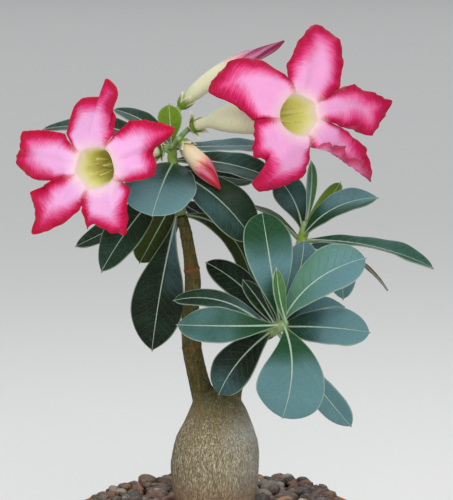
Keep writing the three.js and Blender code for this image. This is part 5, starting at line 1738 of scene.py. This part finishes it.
class DESERTROSE_OT_stage(bpy.types.Operator):
    """Set the camera, the pale floor and the soft lights"""

    bl_idname = "desert_rose.stage"
    bl_label = "Stage"

    def execute(self, context):
        stage = context.scene.desert_rose.stage
        add_camera(stage)
        add_floor(stage)
        for name, (place, size, power, tint) in SOFTBOXES.items():
            add_softbox(name, place, size, getattr(stage, power), tint)
        world = bpy.data.worlds.new("studio")
        world.use_nodes = True
        sky = world.node_tree.nodes["Background"]
        sky.inputs["Color"].default_value = SKY
        sky.inputs["Strength"].default_value = SKY_STRENGTH
        context.scene.world = world
        context.scene.view_settings.view_transform = "Standard"
        return {"FINISHED"}


class DESERTROSE_OT_pot(bpy.types.Operator):
    """Build the clay pot, and give the soil in it its finish"""

    bl_idname = "desert_rose.pot"
    bl_label = "Pot"

    def execute(self, context):
        pot = context.scene.desert_rose.pot
        pot_piece(pot, clay_material(pot))
        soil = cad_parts["soil"].data
        soil.materials.clear()
        soil.materials.append(soil_material())
        return {"FINISHED"}


class DESERTROSE_OT_gravel(bpy.types.Operator):
    """Build the gravel: stones over a bed of grit"""

    bl_idname = "desert_rose.gravel"
    bl_label = "Gravel"

    def execute(self, context):
        stones_piece(context.scene.desert_rose.pot, stone_material())
        grit_piece(grit_material())
        return {"FINISHED"}


class DESERTROSE_OT_caudex(bpy.types.Operator):
    """Build the swollen caudex with its woody stems"""

    bl_idname = "desert_rose.caudex"
    bl_label = "Caudex"

    def execute(self, context):
        bark = context.scene.desert_rose.bark
        caudex_piece(bark, bark_material(bark))
        return {"FINISHED"}


class DESERTROSE_OT_shoots(bpy.types.Operator):
    """Build the green shoots and the flower stalks"""

    bl_idname = "desert_rose.shoots"
    bl_label = "Shoots"

    def execute(self, context):
        settings = context.scene.desert_rose
        material = green_stem_material(settings.bark, settings.leaf)
        for end, ripe_under in (("front", 164), ("right", 192)):
            rings = node_rings(SHOOTS[end])
            shoot_piece(f"green_shoot_{end}", f"shoot_{end}", [rings], ripe_under, material)
        flowers = [*BLOOMS.values(), *BUDS.values()]
        solids = [node_rings(SHOOTS["top"], 24, 100), *map(flower_stalk, flowers)]
        shoot_piece("green_flower_stalks", "flower_stalks", solids, 214, material)
        return {"FINISHED"}


class DESERTROSE_OT_leaves(bpy.types.Operator):
    """Build every leaf, with its veins and waved edge"""

    bl_idname = "desert_rose.leaves"
    bl_label = "Leaves"

    def execute(self, context):
        settings = context.scene.desert_rose.leaf
        material = leaf_material(settings)
        for seed, (name, leaf) in enumerate(LEAVES.items()):
            leaf_piece(name, leaf, settings, material, seed)
        return {"FINISHED"}


class DESERTROSE_OT_blooms(bpy.types.Operator):
    """Build the open blooms and what stands in their throats"""

    bl_idname = "desert_rose.blooms"
    bl_label = "Blooms"

    def execute(self, context):
        settings = context.scene.desert_rose.petal
        anthers = stamen_material(settings)
        for seed, (side, bloom) in enumerate(BLOOMS.items()):
            petals = petal_material(settings, bloom.blush)
            corolla_piece(side, bloom, settings, petals, seed)
            stamen_piece(side, bloom, anthers)
        return {"FINISHED"}


class DESERTROSE_OT_buds(bpy.types.Operator):
    """Build the furled buds"""

    bl_idname = "desert_rose.buds"
    bl_label = "Buds"

    def execute(self, context):
        settings = context.scene.desert_rose.petal
        for name, bud in BUDS.items():
            bud_piece(name, bud, bud_material(settings, bud))
        return {"FINISHED"}


class DESERTROSE_OT_calyces(bpy.types.Operator):
    """Build the calyx under each bloom and bud"""

    bl_idname = "desert_rose.calyces"
    bl_label = "Calyces"

    def execute(self, context):
        settings = context.scene.desert_rose
        material = sepal_material(settings.petal, settings.leaf)
        flowers = {**BLOOMS, **{f"bud_{name}": bud for name, bud in BUDS.items()}}
        for name, flower in flowers.items():
            calyx_piece(f"sepals_{name}", f"calyx_{name}", flower.foot, flower.leaves,
                        CALYX_SHAPES[name], material)
        return {"FINISHED"}


OPERATORS = [
    DESERTROSE_OT_stage, DESERTROSE_OT_pot, DESERTROSE_OT_gravel, DESERTROSE_OT_caudex,
    DESERTROSE_OT_shoots, DESERTROSE_OT_leaves, DESERTROSE_OT_blooms, DESERTROSE_OT_buds,
    DESERTROSE_OT_calyces,
]


class DESERTROSE_PT_panel(bpy.types.Panel):
    """The steps that build the desert rose, and their settings"""

    bl_idname = "DESERTROSE_PT_panel"
    bl_label = "Desert rose"
    bl_space_type = "VIEW_3D"
    bl_region_type = "UI"
    bl_category = "Desert rose"

    def draw(self, context):
        settings = context.scene.desert_rose
        for operator in OPERATORS:
            self.layout.operator(operator.bl_idname)
        for part in ("leaf", "petal", "bark", "pot", "stage"):
            box = self.layout.box()
            group = getattr(settings, part)
            box.label(text=type(group).__doc__)
            for key in group.__annotations__:
                box.prop(group, key)


CLASSES = [
    LeafSettings, PetalSettings, BarkSettings, PotSettings, StageSettings, DesertRoseSettings,
    *OPERATORS, DESERTROSE_PT_panel,
]


def register():
    for each in CLASSES:
        bpy.utils.register_class(each)
    bpy.types.Scene.desert_rose = PointerProperty(type=DesertRoseSettings)


def unregister():
    del bpy.types.Scene.desert_rose
    for each in reversed(CLASSES):
        bpy.utils.unregister_class(each)


def main():
    register()
    for operator in OPERATORS:
        group, step = operator.bl_idname.split(".")
        getattr(getattr(bpy.ops, group), step)()


if __name__ == "__main__":
    main()
